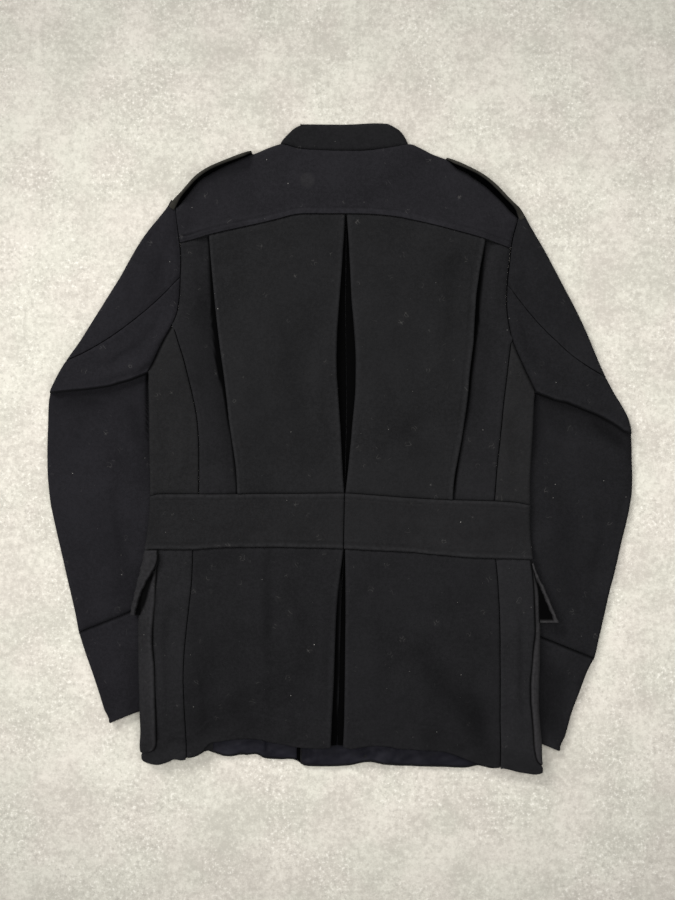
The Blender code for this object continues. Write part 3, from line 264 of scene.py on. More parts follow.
FLAP = {   # down, inner edge, outer fold
    -1: [(md(v), mx(a), mx(b)) for v, a, b in
         ((549.2, 160.8, 146.6), (560, 160.2, 144.2), (566, 157.2, 142.8), (572, 153.4, 141.4),
          (578, 149.8, 139.8), (584, 146.8, 138.4), (592, 143.0, 136.6), (600, 140.6, 134.8),
          (606, 138.9, 133.4), (612.3, 137.6, 132.6))],
    1: [(md(v), mx(a), mx(b)) for v, a, b in
        ((562, 529.6, 531.0), (567, 530.7, 532.5), (572, 532.0, 534.5), (578, 534.4, 537.4),
         (584, 536.9, 540.8), (590, 539.6, 543.6), (596, 542.0, 546.0), (602, 544.6, 548.6),
         (608, 547.2, 551.0), (614, 549.8, 553.6), (619.6, 551.6, 556.4))],
}
SLOT = {    # where the flap's dark inside ends, on the pocket
    -1: down((161, 551), (160.4, 561), (158, 567), (155, 575), (152.4, 582), (150.2, 590),
             (148.4, 597), (146, 604), (143.6, 610), (143, 613)),
    1: down((528.6, 560), (530, 566), (531.8, 572), (533.4, 578), (535.2, 584), (536.6, 590),
            (537.2, 600), (537.4, 620)),
}
STRAP_OUT = {
    -1: [(250.6, 150.9), (240, 154.2), (230, 158.0), (220, 162.0), (210, 166.4), (201, 171.6),
         (193, 178.2), (186, 186.2), (180.6, 192.4), (175.4, 197.8), (171.8, 202.2), (168.9, 206.4)],
    1: [(447.4, 158.0), (460, 162.6), (470, 167.2), (480, 172.4), (490, 179.2), (500, 188.2),
        (508, 196.8), (514.6, 203.4), (519.6, 208.2), (522.4, 212.4), (525.2, 217.4)],
}


# ------------------------------------------------------------- stack heights
def under_edge(side):
    rows = [(r[2], r[1]) for r in SLEEVE[side][7:]]
    hem = CUFF_HEM[side]
    return Line(rows + [(hem[3], hem[2])])


UNDER = {side: under_edge(side) for side in (-1, 1)}


def sleeve_lift(x, d):
    most = 0.0
    for side in (-1, 1):
        ox, od, ix, idn = CUFF_HEM[side]
        over = side * (x - UNDER[side](d))
        cuff = od + (idn - od) / (ix - ox) * (x - ox)
        share = (ease((over + 85.0) / 65.0) * ease((d - (ARMPIT[side] - 125.0)) / 100.0)
                 * ease((cuff + 66.0 - d) / 50.0))
        most = np.maximum(most, share)
    return (SLEEVE_FLAT + 1.0) * most


def zone(x, d, low_l, low_r, run):
    front = np.where(x < 0, -(x - POCKET_FRONT[-1]), x - POCKET_FRONT[1])
    low = np.where(x < 0, low_l, low_r)
    return (ease((front + 18.0) / 16.0) * ease((d - (BAND_LOW(x) - 26.0)) / 25.0)
            * ease((low - d) / run))


def lift(x, d):
    return (sleeve_lift(x, d)
            + PLY * (zone(x, d, 5e3, 5e3, 1.0) + zone(x, d, 604.0, 612.0, 36.0)))


def ridge(x):
    return BUTTON_LIFT * ease((x - 4.0) / 12.0) * ease((58.0 - x) / 12.0)


def facing_room(d):
    return (FACING + REST) * ease((d - 645.0) / 40.0)


def back_base(x, d):
    centre = ease((104.0 - np.abs(x)) / 40.0)
    return lift(x, d) + mix(BASE_SIDE, BASE_CENTRE, centre) + facing_room(d)


def panel_top(x, d, edge):
    fall = ease((np.abs(x) - 48.0) / (np.abs(edge) - 78.0))
    return (lift(x, d) + mix(BASE_CENTRE + PLEAT_STEP, BASE_SIDE + PLEAT_STEP, fall)
            + facing_room(d))


def band_top(x, d):
    fall = ease((np.abs(x) - 48.0) / 110.0)
    return lift(x, d) + mix(BASE_CENTRE + PLEAT_STEP, SIDE_HIGH, fall) + facing_room(d)


def side_top(x, d):
    return lift(x, d) + SIDE_HIGH


def yoke_top(x, d):
    seam, edge = YOKE(x), SHOULDER_TOP(x)
    t = ease((seam - d) / np.maximum(20.0, seam - edge))
    low = np.where(np.abs(x) <= 166.0, panel_top(x, seam, 166.0),
                   mix(panel_top(np.sign(x) * 166.0, seam, 166.0), side_top(x, seam),
                       ease((np.abs(x) - 166.0) / 24.0)))
    high = mix(BASE_CENTRE + PLEAT_STEP, SHOULDER, ease((np.abs(x) - 60.0) / 60.0))
    return mix(low, high, t)


def round_edge(m, low, high, wide=1.0):
    """Upper and lower height of a flattened fold, m inside its edge."""
    radius, middle = (high - low) / 2.0, (high + low) / 2.0
    u = np.clip(m / np.maximum(radius * wide, 1e-6), 0.0, 1.0)
    rise = radius * np.sqrt(np.clip(1.0 - (1.0 - u) ** 2, 0.0, 1.0))
    return middle + rise, middle - rise


# ------------------------------------------------------------------ creases
RELIEF = 2.9
RNG = np.random.default_rng(11)
WAVES = [(2 * math.pi / lam * math.cos(a), 2 * math.pi / lam * math.sin(a), ph, amp)
         for lam, a, ph, amp in zip(
             np.concatenate([RNG.uniform(70, 190, 14), RNG.uniform(24, 60, 16)]),
             RNG.uniform(0, math.pi, 30), RNG.uniform(0, 2 * math.pi, 30),
             np.concatenate([RNG.uniform(0.14, 0.30, 14), RNG.uniform(0.03, 0.08, 16)]))]


def unevenness(x, d):
    z = 0.0
    for kx, kd, ph, amp in WAVES:
        z = z + amp * np.sin(kx * x + kd * d + ph)
    return z


def crease_set(rows):
    """(points in outline units, half width, depth in mm, sharper side)."""
    made = []
    for points, width, depth, *lean in rows:
        p = np.array([(mx(u), md(v)) for u, v in points], float)
        made.append((p, width * PX, depth, lean[0] if lean else 0.0))
    return made


def crease_height(x, d, creases):
    shape = np.shape(x)
    x, d = np.ravel(x), np.ravel(d)
    z = np.zeros(x.shape)
    for p, width, depth, lean in creases:
        reach = 3.2 * width
        near = ((x > p[:, 0].min() - reach) & (x < p[:, 0].max() + reach)
                & (d > p[:, 1].min() - reach) & (d < p[:, 1].max() + reach))
        if not near.any():
            continue
        qx, qd = x[near], d[near]
        seg = np.diff(p, axis=0)
        length = np.hypot(seg[:, 0], seg[:, 1])
        total, run = length.sum(), 0.0
        best = np.full(qx.shape, 1e9)
        sign, at = np.zeros(qx.shape), np.zeros(qx.shape)
        for a, s, n in zip(p[:-1], seg, length):
            t = np.clip(((qx - a[0]) * s[0] + (qd - a[1]) * s[1]) / (n * n), 0.0, 1.0)
            ex, ed = qx - a[0] - t * s[0], qd - a[1] - t * s[1]
            dist = np.hypot(ex, ed)
            closer = dist < best
            best = np.where(closer, dist, best)
            sign = np.where(closer, np.sign(s[0] * ed - s[1] * ex), sign)
            at = np.where(closer, (run + t * n) / total, at)
            run += n
        w = width * np.where(sign * lean > 0, 1.0 - 0.55 * abs(lean), 1.0)
        depth = depth * RELIEF
        fade = ease(at / 0.28) * ease((1.0 - at) / 0.28)
        z[near] += depth * fade * np.exp(-(best / w) ** 2)
    return z.reshape(shape)


BODY_CREASES = crease_set([
    # upper back, beside the pleats
    ([(292, 300), (297, 360), (294, 420), (290, 470)], 13, -1.5),
    ([(262, 250), (268, 330), (262, 420)], 16, 1.2),
    ([(318, 330), (316, 400), (322, 470)], 9, 1.1),
    ([(240, 420), (262, 452), (300, 478)], 8, -0.9),
    ([(236, 300), (246, 370), (246, 430)], 8, 0.7),
    ([(280, 232), (300, 262), (322, 300)], 10, -0.7),
    ([(372, 300), (368, 350), (372, 420), (366, 470)], 10, 1.2),
    ([(400, 260), (408, 330), (398, 400)], 17, -1.2),
    ([(430, 300), (438, 360), (432, 430)], 13, 1.3),
    ([(452, 250), (456, 300), (452, 360)], 8, -0.9),
    ([(372, 470), (400, 440), (440, 418)], 9, -1.0),
    ([(388, 236), (420, 262), (452, 300)], 10, 0.7),
    ([(360, 300), (362, 350), (360, 410)], 4, 0.6),
    ([(330, 300), (329, 360), (332, 420)], 4, 0.6),
    # side backs
    ([(196, 300), (203, 345), (210, 400), (215, 440)], 7, -1.3),
    ([(190, 250), (192, 290), (199, 330)], 8, 0.9),
    ([(165, 400), (172, 440), (168, 480)], 7, -0.8),
    ([(184, 400), (186, 440), (180, 486)], 5, 0.8),
    ([(493, 260), (492, 310), (488, 360)], 7, 0.9),
    ([(482, 360), (478, 410), (472, 460)], 7, -1.2),
    ([(516, 400), (514, 440), (518, 480)], 7, -0.8),
    ([(504, 430), (506, 470), (503, 495)], 5, 0.7),
    # waistband
    ([(180, 520), (240, 524), (300, 520)], 9, 0.7),
    ([(225, 506), (232, 524), (228, 540)], 7, -0.6),
    ([(380, 524), (430, 528), (490, 530)], 9, 0.6),
    ([(402, 506), (398, 524), (404, 542)], 7, -0.6),
    ([(300, 508), (312, 524), (306, 540)], 8, -0.5),
    # skirt
    ([(268, 560), (262, 620), (268, 690), (262, 730)], 16, 1.3),
    ([(216, 570), (212, 640), (214, 720)], 13, -1.6),
    ([(240, 640), (236, 690), (244, 735)], 8, -1.3),
    ([(303, 600), (306, 660), (300, 735)], 12, -1.1),
    ([(322, 580), (322, 650), (318, 730)], 6, 0.9),
    ([(196, 660), (200, 700), (199, 748)], 6, 1.1),
    ([(286, 700), (288, 722), (284, 742)], 8, 1.0),
    ([(180, 590), (172, 640), (176, 700)], 8, -1.1),
    ([(164, 600), (163, 660), (165, 725)], 5, 0.9),
    ([(168, 735), (182, 747), (196, 742)], 6, -1.2),
    ([(372, 580), (376, 650), (370, 730)], 13, 1.0),
    ([(412, 570), (420, 640), (440, 700), (452, 735)], 13, -1.4),
    ([(462, 600), (462, 660), (454, 700)], 12, 1.0),
    ([(470, 690), (476, 722), (482, 752)], 10, -2.0),
    ([(448, 715), (455, 735), (462, 750)], 7, 1.0),
    ([(402, 690), (404, 722), (398, 742)], 9, -0.9),
    ([(512, 590), (514, 660), (512, 730)], 7, 0.9),
    ([(505, 640), (504, 690), (506, 745)], 5, -0.9),
    ([(522, 600), (520, 660), (523, 730)], 4, -0.7),
    # yoke
    ([(200, 226), (250, 205), (300, 196)], 12, 0.8),
    ([(225, 190), (262, 178), (300, 172)], 9, -0.7),
    ([(380, 180), (430, 190), (470, 208)], 12, -0.7),
    ([(400, 205), (450, 216), (490, 228)], 8, 0.6),
])

SLEEVE_CREASES = crease_set([
    # upper arms
    ([(150, 250), (130, 285), (104, 325)], 13, 1.3),
    ([(168, 225), (166, 262), (160, 292)], 7, -0.9),
    ([(176, 300), (158, 330), (132, 352), (104, 368)], 7, -1.0),
    ([(166, 352), (140, 366), (108, 376), (78, 383)], 6, 1.5),
    ([(152, 330), (128, 350), (98, 366)], 6, 0.8),
    ([(538, 262), (556, 300), (576, 338)], 12, 1.3),
    ([(524, 240), (523, 268), (528, 292)], 7, -0.8),
    ([(516, 320), (536, 350), (560, 374), (590, 396)], 7, -0.9),
    ([(530, 372), (556, 388), (586, 400), (610, 412)], 6, 1.5),
    ([(545, 330), (566, 352), (590, 378)], 6, 0.8),
    # lower arms, under the arm folds
    ([(64, 402), (96, 404), (130, 398)], 10, -1.6),
    ([(58, 420), (88, 434), (126, 432)], 9, 0.9),
    ([(72, 392), (76, 420), (70, 455)], 8, 0.8),
    ([(66, 470), (92, 500), (116, 560)], 12, 1.2),
    ([(124, 440), (122, 500), (128, 570)], 9, -1.2),
    ([(100, 460), (112, 520), (116, 600)], 8, 0.7),
    ([(74, 540), (86, 580), (98, 616)], 9, -0.8),
    ([(96, 640), (110, 670), (122, 700)], 9, 0.8),
    ([(124, 640), (128, 670), (134, 700)], 7, -0.9),
    ([(560, 420), (590, 428), (616, 440)], 10, -1.8),
    ([(540, 430), (566, 446), (596, 456)], 9, 0.8),
    ([(622, 440), (618, 480), (610, 530)], 8, 0.9),
    ([(556, 470), (566, 520), (566, 580)], 10, -1.3),
    ([(586, 480), (590, 530), (584, 590)], 10, 1.0),
    ([(606, 500), (600, 560), (592, 610)], 8, -0.7),
    ([(544, 560), (548, 600), (552, 630)], 7, 0.7),
    ([(560, 668), (566, 700), (560, 730)], 8, -0.9),
    ([(576, 665), (578, 690), (570, 715)], 7, 0.8),
    ([(546, 670), (548, 700), (546, 728)], 6, -0.9),
])

HEM_CREASES = crease_set([
    ([(262, 738), (264, 745), (262, 752)], 2.2, 1.4),
    ([(267, 738), (268, 746), (266, 754)], 2.0, -1.6),
    ([(281, 742), (284, 750), (281, 758)], 4.0, 1.2),
    ([(307, 744), (309, 752), (307, 762)], 2.2, -1.8),
    ([(314, 745), (316, 754), (314, 764)], 3.0, 1.0),
    ([(352, 746), (357, 753), (362, 760)], 4.0, -1.2),
    ([(364, 746), (366, 752), (364, 760)], 2.4, -1.5),
    ([(377, 747), (379, 753), (376, 760)], 2.6, -1.4),
    ([(371, 747), (372, 753), (370, 759)], 2.2, 1.0),
    ([(396, 748), (398, 755), (395, 762)], 2.4, -1.6),
    ([(390, 747), (391, 754), (388, 762)], 2.6, 1.0),
    ([(430, 751), (434, 758), (430, 764)], 5.0, 1.0),
    ([(222, 741), (226, 747), (223, 753)], 3.4, -1.0),
    ([(236, 741), (240, 747), (243, 753)], 4.0, 1.0),
    ([(330, 748), (334, 755), (331, 763)], 5.0, 0.8),
])

FRONT_CREASES = crease_set([
    ([(262, 220), (290, 300), (300, 380)], 14, 1.0),
    ([(236, 260), (232, 340), (240, 430)], 12, -0.9),
    ([(318, 300), (322, 380), (316, 460)], 9, 0.7),
    ([(440, 230), (412, 300), (404, 390)], 14, 0.9),
    ([(462, 280), (464, 360), (456, 440)], 12, -1.0),
    ([(300, 580), (296, 650), (304, 720)], 13, 0.9),
    ([(330, 600), (334, 680), (328, 740)], 8, -0.7),
    ([(400, 580), (408, 660), (400, 730)], 13, -0.9),
    ([(230, 600), (226, 660), (232, 720)], 10, 0.8),
    ([(450, 610), (456, 670), (450, 730)], 10, 0.8),
    ([(280, 180), (300, 210), (330, 228)], 8, -0.7),
    ([(410, 180), (390, 212), (362, 232)], 8, 0.7),
])


PAINTED_SHADE_STROKES = crease_set([   # painted shade: soft darker strokes where the folds fall into shade: half width, share
    ([(400, 630), (438, 680), (470, 715), (486, 752)], 14, 0.26),
    ([(470, 680), (478, 725), (484, 765)], 12, 0.24),
    ([(214, 620), (203, 690), (214, 756)], 16, 0.17),
    ([(246, 640), (240, 700), (246, 752)], 12, 0.15),
    ([(296, 300), (294, 390), (304, 480)], 13, 0.15),
    ([(258, 380), (268, 430), (262, 480)], 15, 0.12),
    ([(382, 400), (412, 440), (446, 470)], 14, 0.13),
    ([(453, 240), (451, 290), (446, 340)], 10, 0.14),
    ([(489, 270), (483, 360), (472, 470)], 9, 0.17),
    ([(300, 560), (306, 640), (300, 730)], 10, 0.08),
    ([(372, 600), (384, 670), (376, 740)], 10, 0.08),
    ([(52, 404), (80, 402), (112, 400)], 9, 0.36),
    ([(120, 398), (136, 412), (140, 450)], 9, 0.28),
    ([(112, 500), (124, 570), (122, 640)], 14, 0.16),
    ([(134, 640), (135, 680), (134, 725)], 8, 0.30),
    ([(98, 670), (106, 700), (112, 728)], 8, 0.14),
    ([(582, 412), (610, 434), (632, 452)], 9, 0.44),
    ([(536, 390), (552, 408), (566, 440)], 11, 0.20),
    ([(560, 480), (568, 550), (564, 620)], 14, 0.18),
    ([(544, 640), (549, 690), (548, 745)], 9, 0.34),
    ([(560, 660), (562, 705), (558, 750)], 8, 0.16),
])


# painted shade: how dark the strokes paint the cloth at x, d
def painted_shade_strokes(x, d):
    return crease_height(x, d, PAINTED_SHADE_STROKES) / RELIEF


def groove(dist, at, deep=0.5, wide=0.9):
    """A stitched line: a small valley with soft shoulders."""
    u = (dist - at) / wide
    return -1.7 * deep * bell(u) + 0.7 * deep * (bell((u - 2.4) / 1.5) + bell((u + 2.4) / 1.5))


def roll(dist, deep=1.1, wide=2.2):
    """Cloth falling into a seam."""
    return -deep * bell(np.maximum(dist, 0.0) / wide)


# --------------------------------------------------------------- cloth sheets
def place(x, d, z):
    return np.stack([(np.asarray(x) + MOVE[0]) * MM, (MOVE[1] - np.asarray(d)) * MM,
                     np.asarray(z) * MM], axis=-1)


PIECES = {}


class Sheet:
    """A cloth shell from grids of points on its outer face."""

    def __init__(self, name):
        self.name = name
        self.index, self.points, self.marks, self.quads = {}, [], [], []
        self.area = 0.0
        self.wide = self.long = 0.0

    def grid(self, x, d, z, look=None, up=True, painted_shade=0.0, wear_and_highlight=0.0, mask=None, join=None):
        """look: the rows and columns whose faces tell which way is out.
        join: how the grid continues the others in the flat cut."""
        x, d, z, painted_shade, wear_and_highlight = np.broadcast_arrays(x, d, z, painted_shade, wear_and_highlight)
        p = np.stack([x, d, z], axis=-1).astype(float)
        w = place(x, d, z)
        n = np.cross(w[1:, :-1] - w[:-1, :-1], w[:-1, 1:] - w[:-1, :-1])
        part = n if look is None else n[look]
        flip = (part[..., 2].sum() < 0) == up
        keys = np.round(p * 50).astype(int)
        ids = np.empty(x.shape, int)
        for r in range(x.shape[0]):
            for c in range(x.shape[1]):
                k = (keys[r, c, 0], keys[r, c, 1], keys[r, c, 2])
                i = self.index.get(k)
                if i is None:
                    i = self.index[k] = len(self.points)
                    self.points.append(w[r, c])
                    self.marks.append((float(painted_shade[r, c]), float(wear_and_highlight[r, c])))
                ids[r, c] = i
        a, b, c_, e = ids[:-1, :-1], ids[1:, :-1], ids[1:, 1:], ids[:-1, 1:]
        quads = np.stack([a, b, c_, e] if not flip else [a, e, c_, b], axis=-1)
        keep = np.ones(a.shape, bool) if mask is None else mask
        for q in quads[keep]:
            ring = [int(v) for n_, v in enumerate(q) if v != q[n_ - 1]]
            if len(ring) > 2 and len(set(ring)) == len(ring):
                self.quads.append(ring)
        wide = float(np.linalg.norm(np.diff(w, axis=1), axis=-1).sum(axis=1).max())
        long = float(np.linalg.norm(np.diff(w, axis=0), axis=-1).sum(axis=0).max())
        self.wide = self.wide + wide if join == "across" else max(self.wide, wide)
        self.long = self.long + long if join == "along" else max(self.long, long)
        return self

    def build(self, thickness, mat, nodes, slot, rests_on=(), rim=0.5):
        used = sorted({i for q in self.quads for i in q})
        again = {old: new for new, old in enumerate(used)}
        quads = [[again[i] for i in q] for q in self.quads]
        p = np.array(self.points)[used]
        marks = np.array(self.marks)[used]
        tris = []
        for q in quads:
            tris.append((q[0], q[1], q[2]))
            if len(q) == 4:
                tris.append((q[0], q[2], q[3]))
        tris = np.array(tris)
        cross = np.cross(p[tris[:, 1]] - p[tris[:, 0]], p[tris[:, 2]] - p[tris[:, 0]])
        self.area = float(np.linalg.norm(cross, axis=1).sum() / 2)
        unit = cross / np.maximum(np.linalg.norm(cross, axis=1, keepdims=True), 1e-15)
        normal = np.zeros_like(p)
        for k in range(3):
            u = p[tris[:, (k + 1) % 3]] - p[tris[:, k]]
            v = p[tris[:, (k + 2) % 3]] - p[tris[:, k]]
            cosine = (u * v).sum(1) / np.maximum(np.linalg.norm(u, axis=1)
                                                 * np.linalg.norm(v, axis=1), 1e-18)
            angle = np.arccos(np.clip(cosine, -1, 1))
            np.add.at(normal, tris[:, k], unit * angle[:, None])
        normal /= np.maximum(np.linalg.norm(normal, axis=1, keepdims=True), 1e-12)
        half = thickness * MM / 2
        inner = p - 2 * half * normal
        seen = set()
        for q in quads:
            for i, j in zip(q, q[1:] + q[:1]):
                seen.add((i, j))
        edge = [(i, j) for (i, j) in seen if (j, i) not in seen]
        edge.sort()
        out = {}
        for i, j in edge:
            o = np.cross(p[j] - p[i], normal[i] + normal[j])
            o /= max(np.linalg.norm(o), 1e-15)
            for k in (i, j):
                out[k] = out.get(k, 0.0) + o
        verts = [p, inner]
        allmarks = [marks, marks]
        n0, rings = len(p), {}
        extra, extra_marks = [], []
        for k in sorted(out):
            o = out[k]
            o = o - normal[k] * np.dot(o, normal[k])
            o /= max(np.linalg.norm(o), 1e-15)
            mid = p[k] - half * normal[k]
            rings[k] = []
            for a in (50.0, 90.0, 130.0):
                r = math.radians(a)
                rings[k].append(2 * n0 + len(extra))
                extra.append(mid + normal[k] * half * math.cos(r) + o * half * rim * math.sin(r))
                extra_marks.append(marks[k])
        if extra:
            verts.append(np.array(extra))
            allmarks.append(np.array(extra_marks))
        verts = np.concatenate(verts)
        allmarks = np.concatenate(allmarks)
        faces = [tuple(q) for q in quads]
        faces += [tuple(n0 + v for v in reversed(q)) for q in quads]
        for i, j in edge:
            ladder_i, ladder_j = [i] + rings[i] + [n0 + i], [j] + rings[j] + [n0 + j]
            for s in range(4):
                faces.append((ladder_j[s], ladder_i[s], ladder_i[s + 1], ladder_j[s + 1]))
        obj = finished(self.name, verts, faces, mat, nodes)
        for n, key in enumerate(("painted_shade", "wear_and_highlight")):
            layer = obj.data.attributes.new(key, "FLOAT", "POINT")
            layer.data.foreach_set("value", np.ascontiguousarray(allmarks[:, n], np.float32))
        wide, long = self.wide, self.long
        if self.area > 0.999 * wide * long:
            wide = self.area / (0.999 * long)
        if self.area < 0.301 * wide * long:
            wide = self.area / (0.301 * long)
        print("SHEET %s | %.0f x %.0f mm | %.4f m2 | %d quads" % (
            self.name, wide * 1e3, long * 1e3, self.area, len(faces)))
        return obj


def finished(name, verts, faces, mat, nodes):
    mesh = bpy.data.meshes.new(name)
    mesh.from_pydata([tuple(v) for v in verts], [], faces)
    mesh.validate(verbose=False)
    mesh.shade_smooth()
    obj = bpy.data.objects.new(name, mesh)
    bpy.context.scene.collection.objects.link(obj)
    mesh.materials.append(mat)
    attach(obj, "root")
    if nodes:
        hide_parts(*nodes)
    PIECES[name] = obj
    return obj


def spread(a, b, step, ends=0.0):
    """Numbers from a to b about step apart, finer at the ends if asked."""
    n = max(2, int(math.ceil(abs(b - a) / step)))
    t = np.linspace(0, 1, n + 1)
    if ends:
        t = (1 - ends) * t + ends * 0.5 * (1 - np.cos(math.pi * t))
    return a + (b - a) * t


def solve(x_of, v, top, low, gap_top=EDGE, gap_low=EDGE):
    """Points at share v between two across lines, on the line x_of(d)."""
    d = 0.5 * (top(x_of(np.full(v.shape, 200.0))) + low(x_of(np.full(v.shape, 400.0))))
    for _ in range(12):
        x = x_of(d)
        d = mix(top(x) + gap_top, low(x) - gap_low, v)
    return x_of(d), d


# --------------------------------------------------------------- small relief
def pucker(dist, along, deep=0.22, wide=7.0):
    """Small gathers that run off a seam."""
    return deep * bell(dist / wide) * (np.sin(along * 0.47 + 0.9 * np.sin(along * 0.061))
                                       + 0.6 * np.sin(along * 0.83 + 2.1))


def seam(dist, along, deep=0.9, wide=2.0):
    return roll(dist, deep, wide) + pucker(dist, along)


def soften(r, low=2.2, high=5.0):
    """Height of the cloth's waves, never through the layer underneath."""
    return np.where(r < 0, low * (np.exp(np.minimum(r, 0.0) / low) - 1.0),
                    high * (1.0 - np.exp(-np.maximum(r, 0.0) / high))) + 0.5


def body_relief(x, d):
    return soften(2.0 * unevenness(x, d) + crease_height(x, d, BODY_CREASES))


def sleeve_relief(x, d):
    return soften(2.2 * unevenness(x + 300.0, d) + crease_height(x, d, SLEEVE_CREASES), 2.4)


YOKE_EDGE = Line([(mx(u), md(v)) for u, v in
                  [(172, 200.5), (178, 208), (183, 202), (190, 193), (200, 181.5), (210, 175),
                   (225, 167), (240, 160), (250, 155.8), (257, 153.4), (270, 148), (283, 144.5),
                   (289, 147), (300, 150), (320, 151.8), (345, 152.5), (365, 152), (381, 150.4),
                   (394, 148.6), (402, 147), (409, 145), (420, 149), (430, 154), (440, 158),
                   (449, 161.8), (455, 168), (465, 173), (475, 180), (485, 187), (495, 196),
                   (503, 204), (510, 212), (517, 218.5), (521, 222)]][1:-1])
NECKLINE = Line([(0.0, 22.0), (16.0, 20.6), (46.0, 10.6), (58.0, 3.8), (70.0, -4.5),
                 (76.0, -9.5)])
BAND_CENTRE = down((344.5, 494), (343.5, 548))
BAND_FOLD = {-1: down((151, 494), (150.4, 510), (148.6, 530), (146.6, 550)),
             1: down((529.2, 500), (529, 520), (529.9, 540), (531, 559))}
CORNER = {-1: md(326), 1: md(339)}
FACING_TOP = 711.0


def outer_line(side):
    arm, seam_line, corner = ARM[side], SIDE_SEAM[side], CORNER[side]

    def x_of(d):
        return np.where(d < corner, arm(d), seam_line(d))
    return x_of


def front_top(x):
    return np.where(np.abs(x) < 74.0, NECKLINE(np.abs(x)), YOKE_EDGE(x))


def front_low(side, x, d, ply):
    level = ridge(x)
    if side > 0:
        level = (level + ply + 0.3) * ease((82.0 - x) / 22.0)
    return lift(x, d) + level


def stack(columns):
    """Columns of (x, d, z, painted shade, wear and highlight) to grids."""
    shape = max(np.shape(c[0]) for c in columns)
    return [np.stack([np.broadcast_to(np.asarray(c[k], float), shape) for c in columns], axis=1)
            for k in range(5)]


def under_z(x, d):
    """Hidden underlay of an inverted pleat, resting on the fronts."""
    return lift(x, d) + 7.0 + ridge(x) + facing_room(d)


def inverted_pleat(side, edge, middle, v, top, low, ztop, lines, gap_low, strip=None):
    """Columns from the underlay's centre seam to the visible edge's fold."""
    columns = []
    wide, reach = 2.6, 28.0

    def ret(d):
        e = edge(d)
        return back_base(e, d) + BACK + REST + 0.1

    for t in np.linspace(0.0, 1.0, 15):
        x, d = solve(lambda q: mix(middle(q) + side * EDGE * 0.8, edge(q) + side * reach, t), v,
                     top, low, EDGE, gap_low)
        z = under_z(x, d) + seam(side * (x - middle(d)), d, 0.8, 2.0)
        # painted shade: the underlay inside the pleat is drawn near black, and so are its return and
        # the inner half of the fold
        painted_shade = np.ones_like(x)
        if strip is not None:
            rise, pale = strip(x, d)
            z, painted_shade = z + rise, painted_shade - pale
        columns.append((x, d, z, painted_shade, 0.0))
    for a in np.linspace(-60.0, 90.0, 5):
        a = math.radians(a)
        x, d = solve(lambda q: edge(q) + side * (reach + 1.5 * math.cos(a)), v, top, low, EDGE,
                     gap_low)
        lo, hi = under_z(edge(d) + side * reach, d), ret(d)
        columns.append((x, d, (lo + hi) / 2 + (hi - lo) / 2 * math.sin(a), 1.0, 0.0))
    for t in (0.75, 0.5, 0.28):
        x, d = solve(lambda q: edge(q) + side * mix(wide, reach, t), v, top, low, EDGE, gap_low)
        columns.append((x, d, ret(d), 1.0, 0.0))
    for a in np.linspace(270.0, 90.0, 10):
        r = math.radians(a)
        x, d = solve(lambda q: edge(q) + side * wide * (1.0 + math.cos(r)), v, top, low, EDGE,
                     gap_low)
        hi = ztop(edge(d) + side * wide, d)
        radius = (hi - ret(d)) / 2
        painted_shade = float(ease((a - 170.0) / 60.0))
        columns.append((x, d, ret(d) + radius + radius * math.sin(r), painted_shade,
                        0.6 * float(ease((190.0 - a) / 60.0))))
    return columns


def back_centre(side, mat):
    edge, knife = PLEAT[side], KNIFE[side]

    def middle(d):
        return 0.5 * (PLEAT[-1](d) + PLEAT[1](d))

    def ztop(x, d):
        inner, outer = side * (x - edge(d)), side * (knife(d) - x)
        z = panel_top(x, d, knife(d)) + body_relief(x, d)
        z = z + 0.9 * bell(inner / 7.0) * ease((d - 90.0) / 60.0) * ease((400.0 - d) / 60.0)
        z = z + 0.6 * bell(outer / 4.0) + groove(outer, 6.6, 0.75, 1.0)
        z = z + seam(d - YOKE(x), x, 1.5, 2.6) + seam(BAND_TOP(x) - d, x, 1.3, 2.6)
        return z

    v = spread(0, 1, 1 / 118, 0.3)
    columns = inverted_pleat(side, edge, middle, v, YOKE, BAND_TOP, ztop, None, EDGE)
    first = len(columns)
    for t in spread(0, 1, 1 / 52, 0.25)[1:-1]:
        x, d = solve(lambda q: mix(edge(q) + side * 2.6, knife(q) - side * 2.4, t), v, YOKE,
                     BAND_TOP)
        # painted shade strokes on the panel; rubbed edges and painted highlight along the pleat
        # folds
        wear_and_highlight = (0.8 * bell(side * (x - edge(d)) / 4.5) + 1.5 * bell(side * (knife(d) - x) / 4.0)
                + 0.25 * bell((d - YOKE(x)) / 5.0))
        columns.append((x, d, ztop(x, d), painted_shade_strokes(x, d), wear_and_highlight))
    last = len(columns)
    # painted shade on the knife pleat's fold and the cloth under it
    for a in np.linspace(90.0, -90.0, 9):
        r = math.radians(a)
        x, d = solve(lambda q: knife(q) - side * 2.4 * (1.0 - math.cos(r)), v, YOKE, BAND_TOP)
        hi = ztop(knife(d) - side * 2.4, d)
        lo = lift(knife(d), d) + BASE_SIDE + BACK + REST + 0.4
        radius = (hi - lo) / 2
        columns.append((x, d, lo + radius + radius * math.sin(r), float(ease(-a / 60.0)),
                        float(ease((a + 20.0) / 60.0))))
    for t in (0.3, 0.65, 1.0):
        x, d = solve(lambda q: knife(q) - side * mix(2.4, 22.0, t), v, YOKE, BAND_TOP)
        columns.append((x, d, lift(x, d) + BASE_SIDE + BACK + REST + 0.4, 1.0, 0.0))
    x, d, z, painted_shade, wear_and_highlight = stack(columns)
    sheet = Sheet("wool_back_centre_" + LR[side])
    sheet.grid(x, d, z, (slice(None), slice(first, last - 1)), True, painted_shade, wear_and_highlight)
    return sheet.build(BACK, mat, ["back_centre_" + LR[side]], "wool",
                       ["wool_front_L", "wool_front_R"])


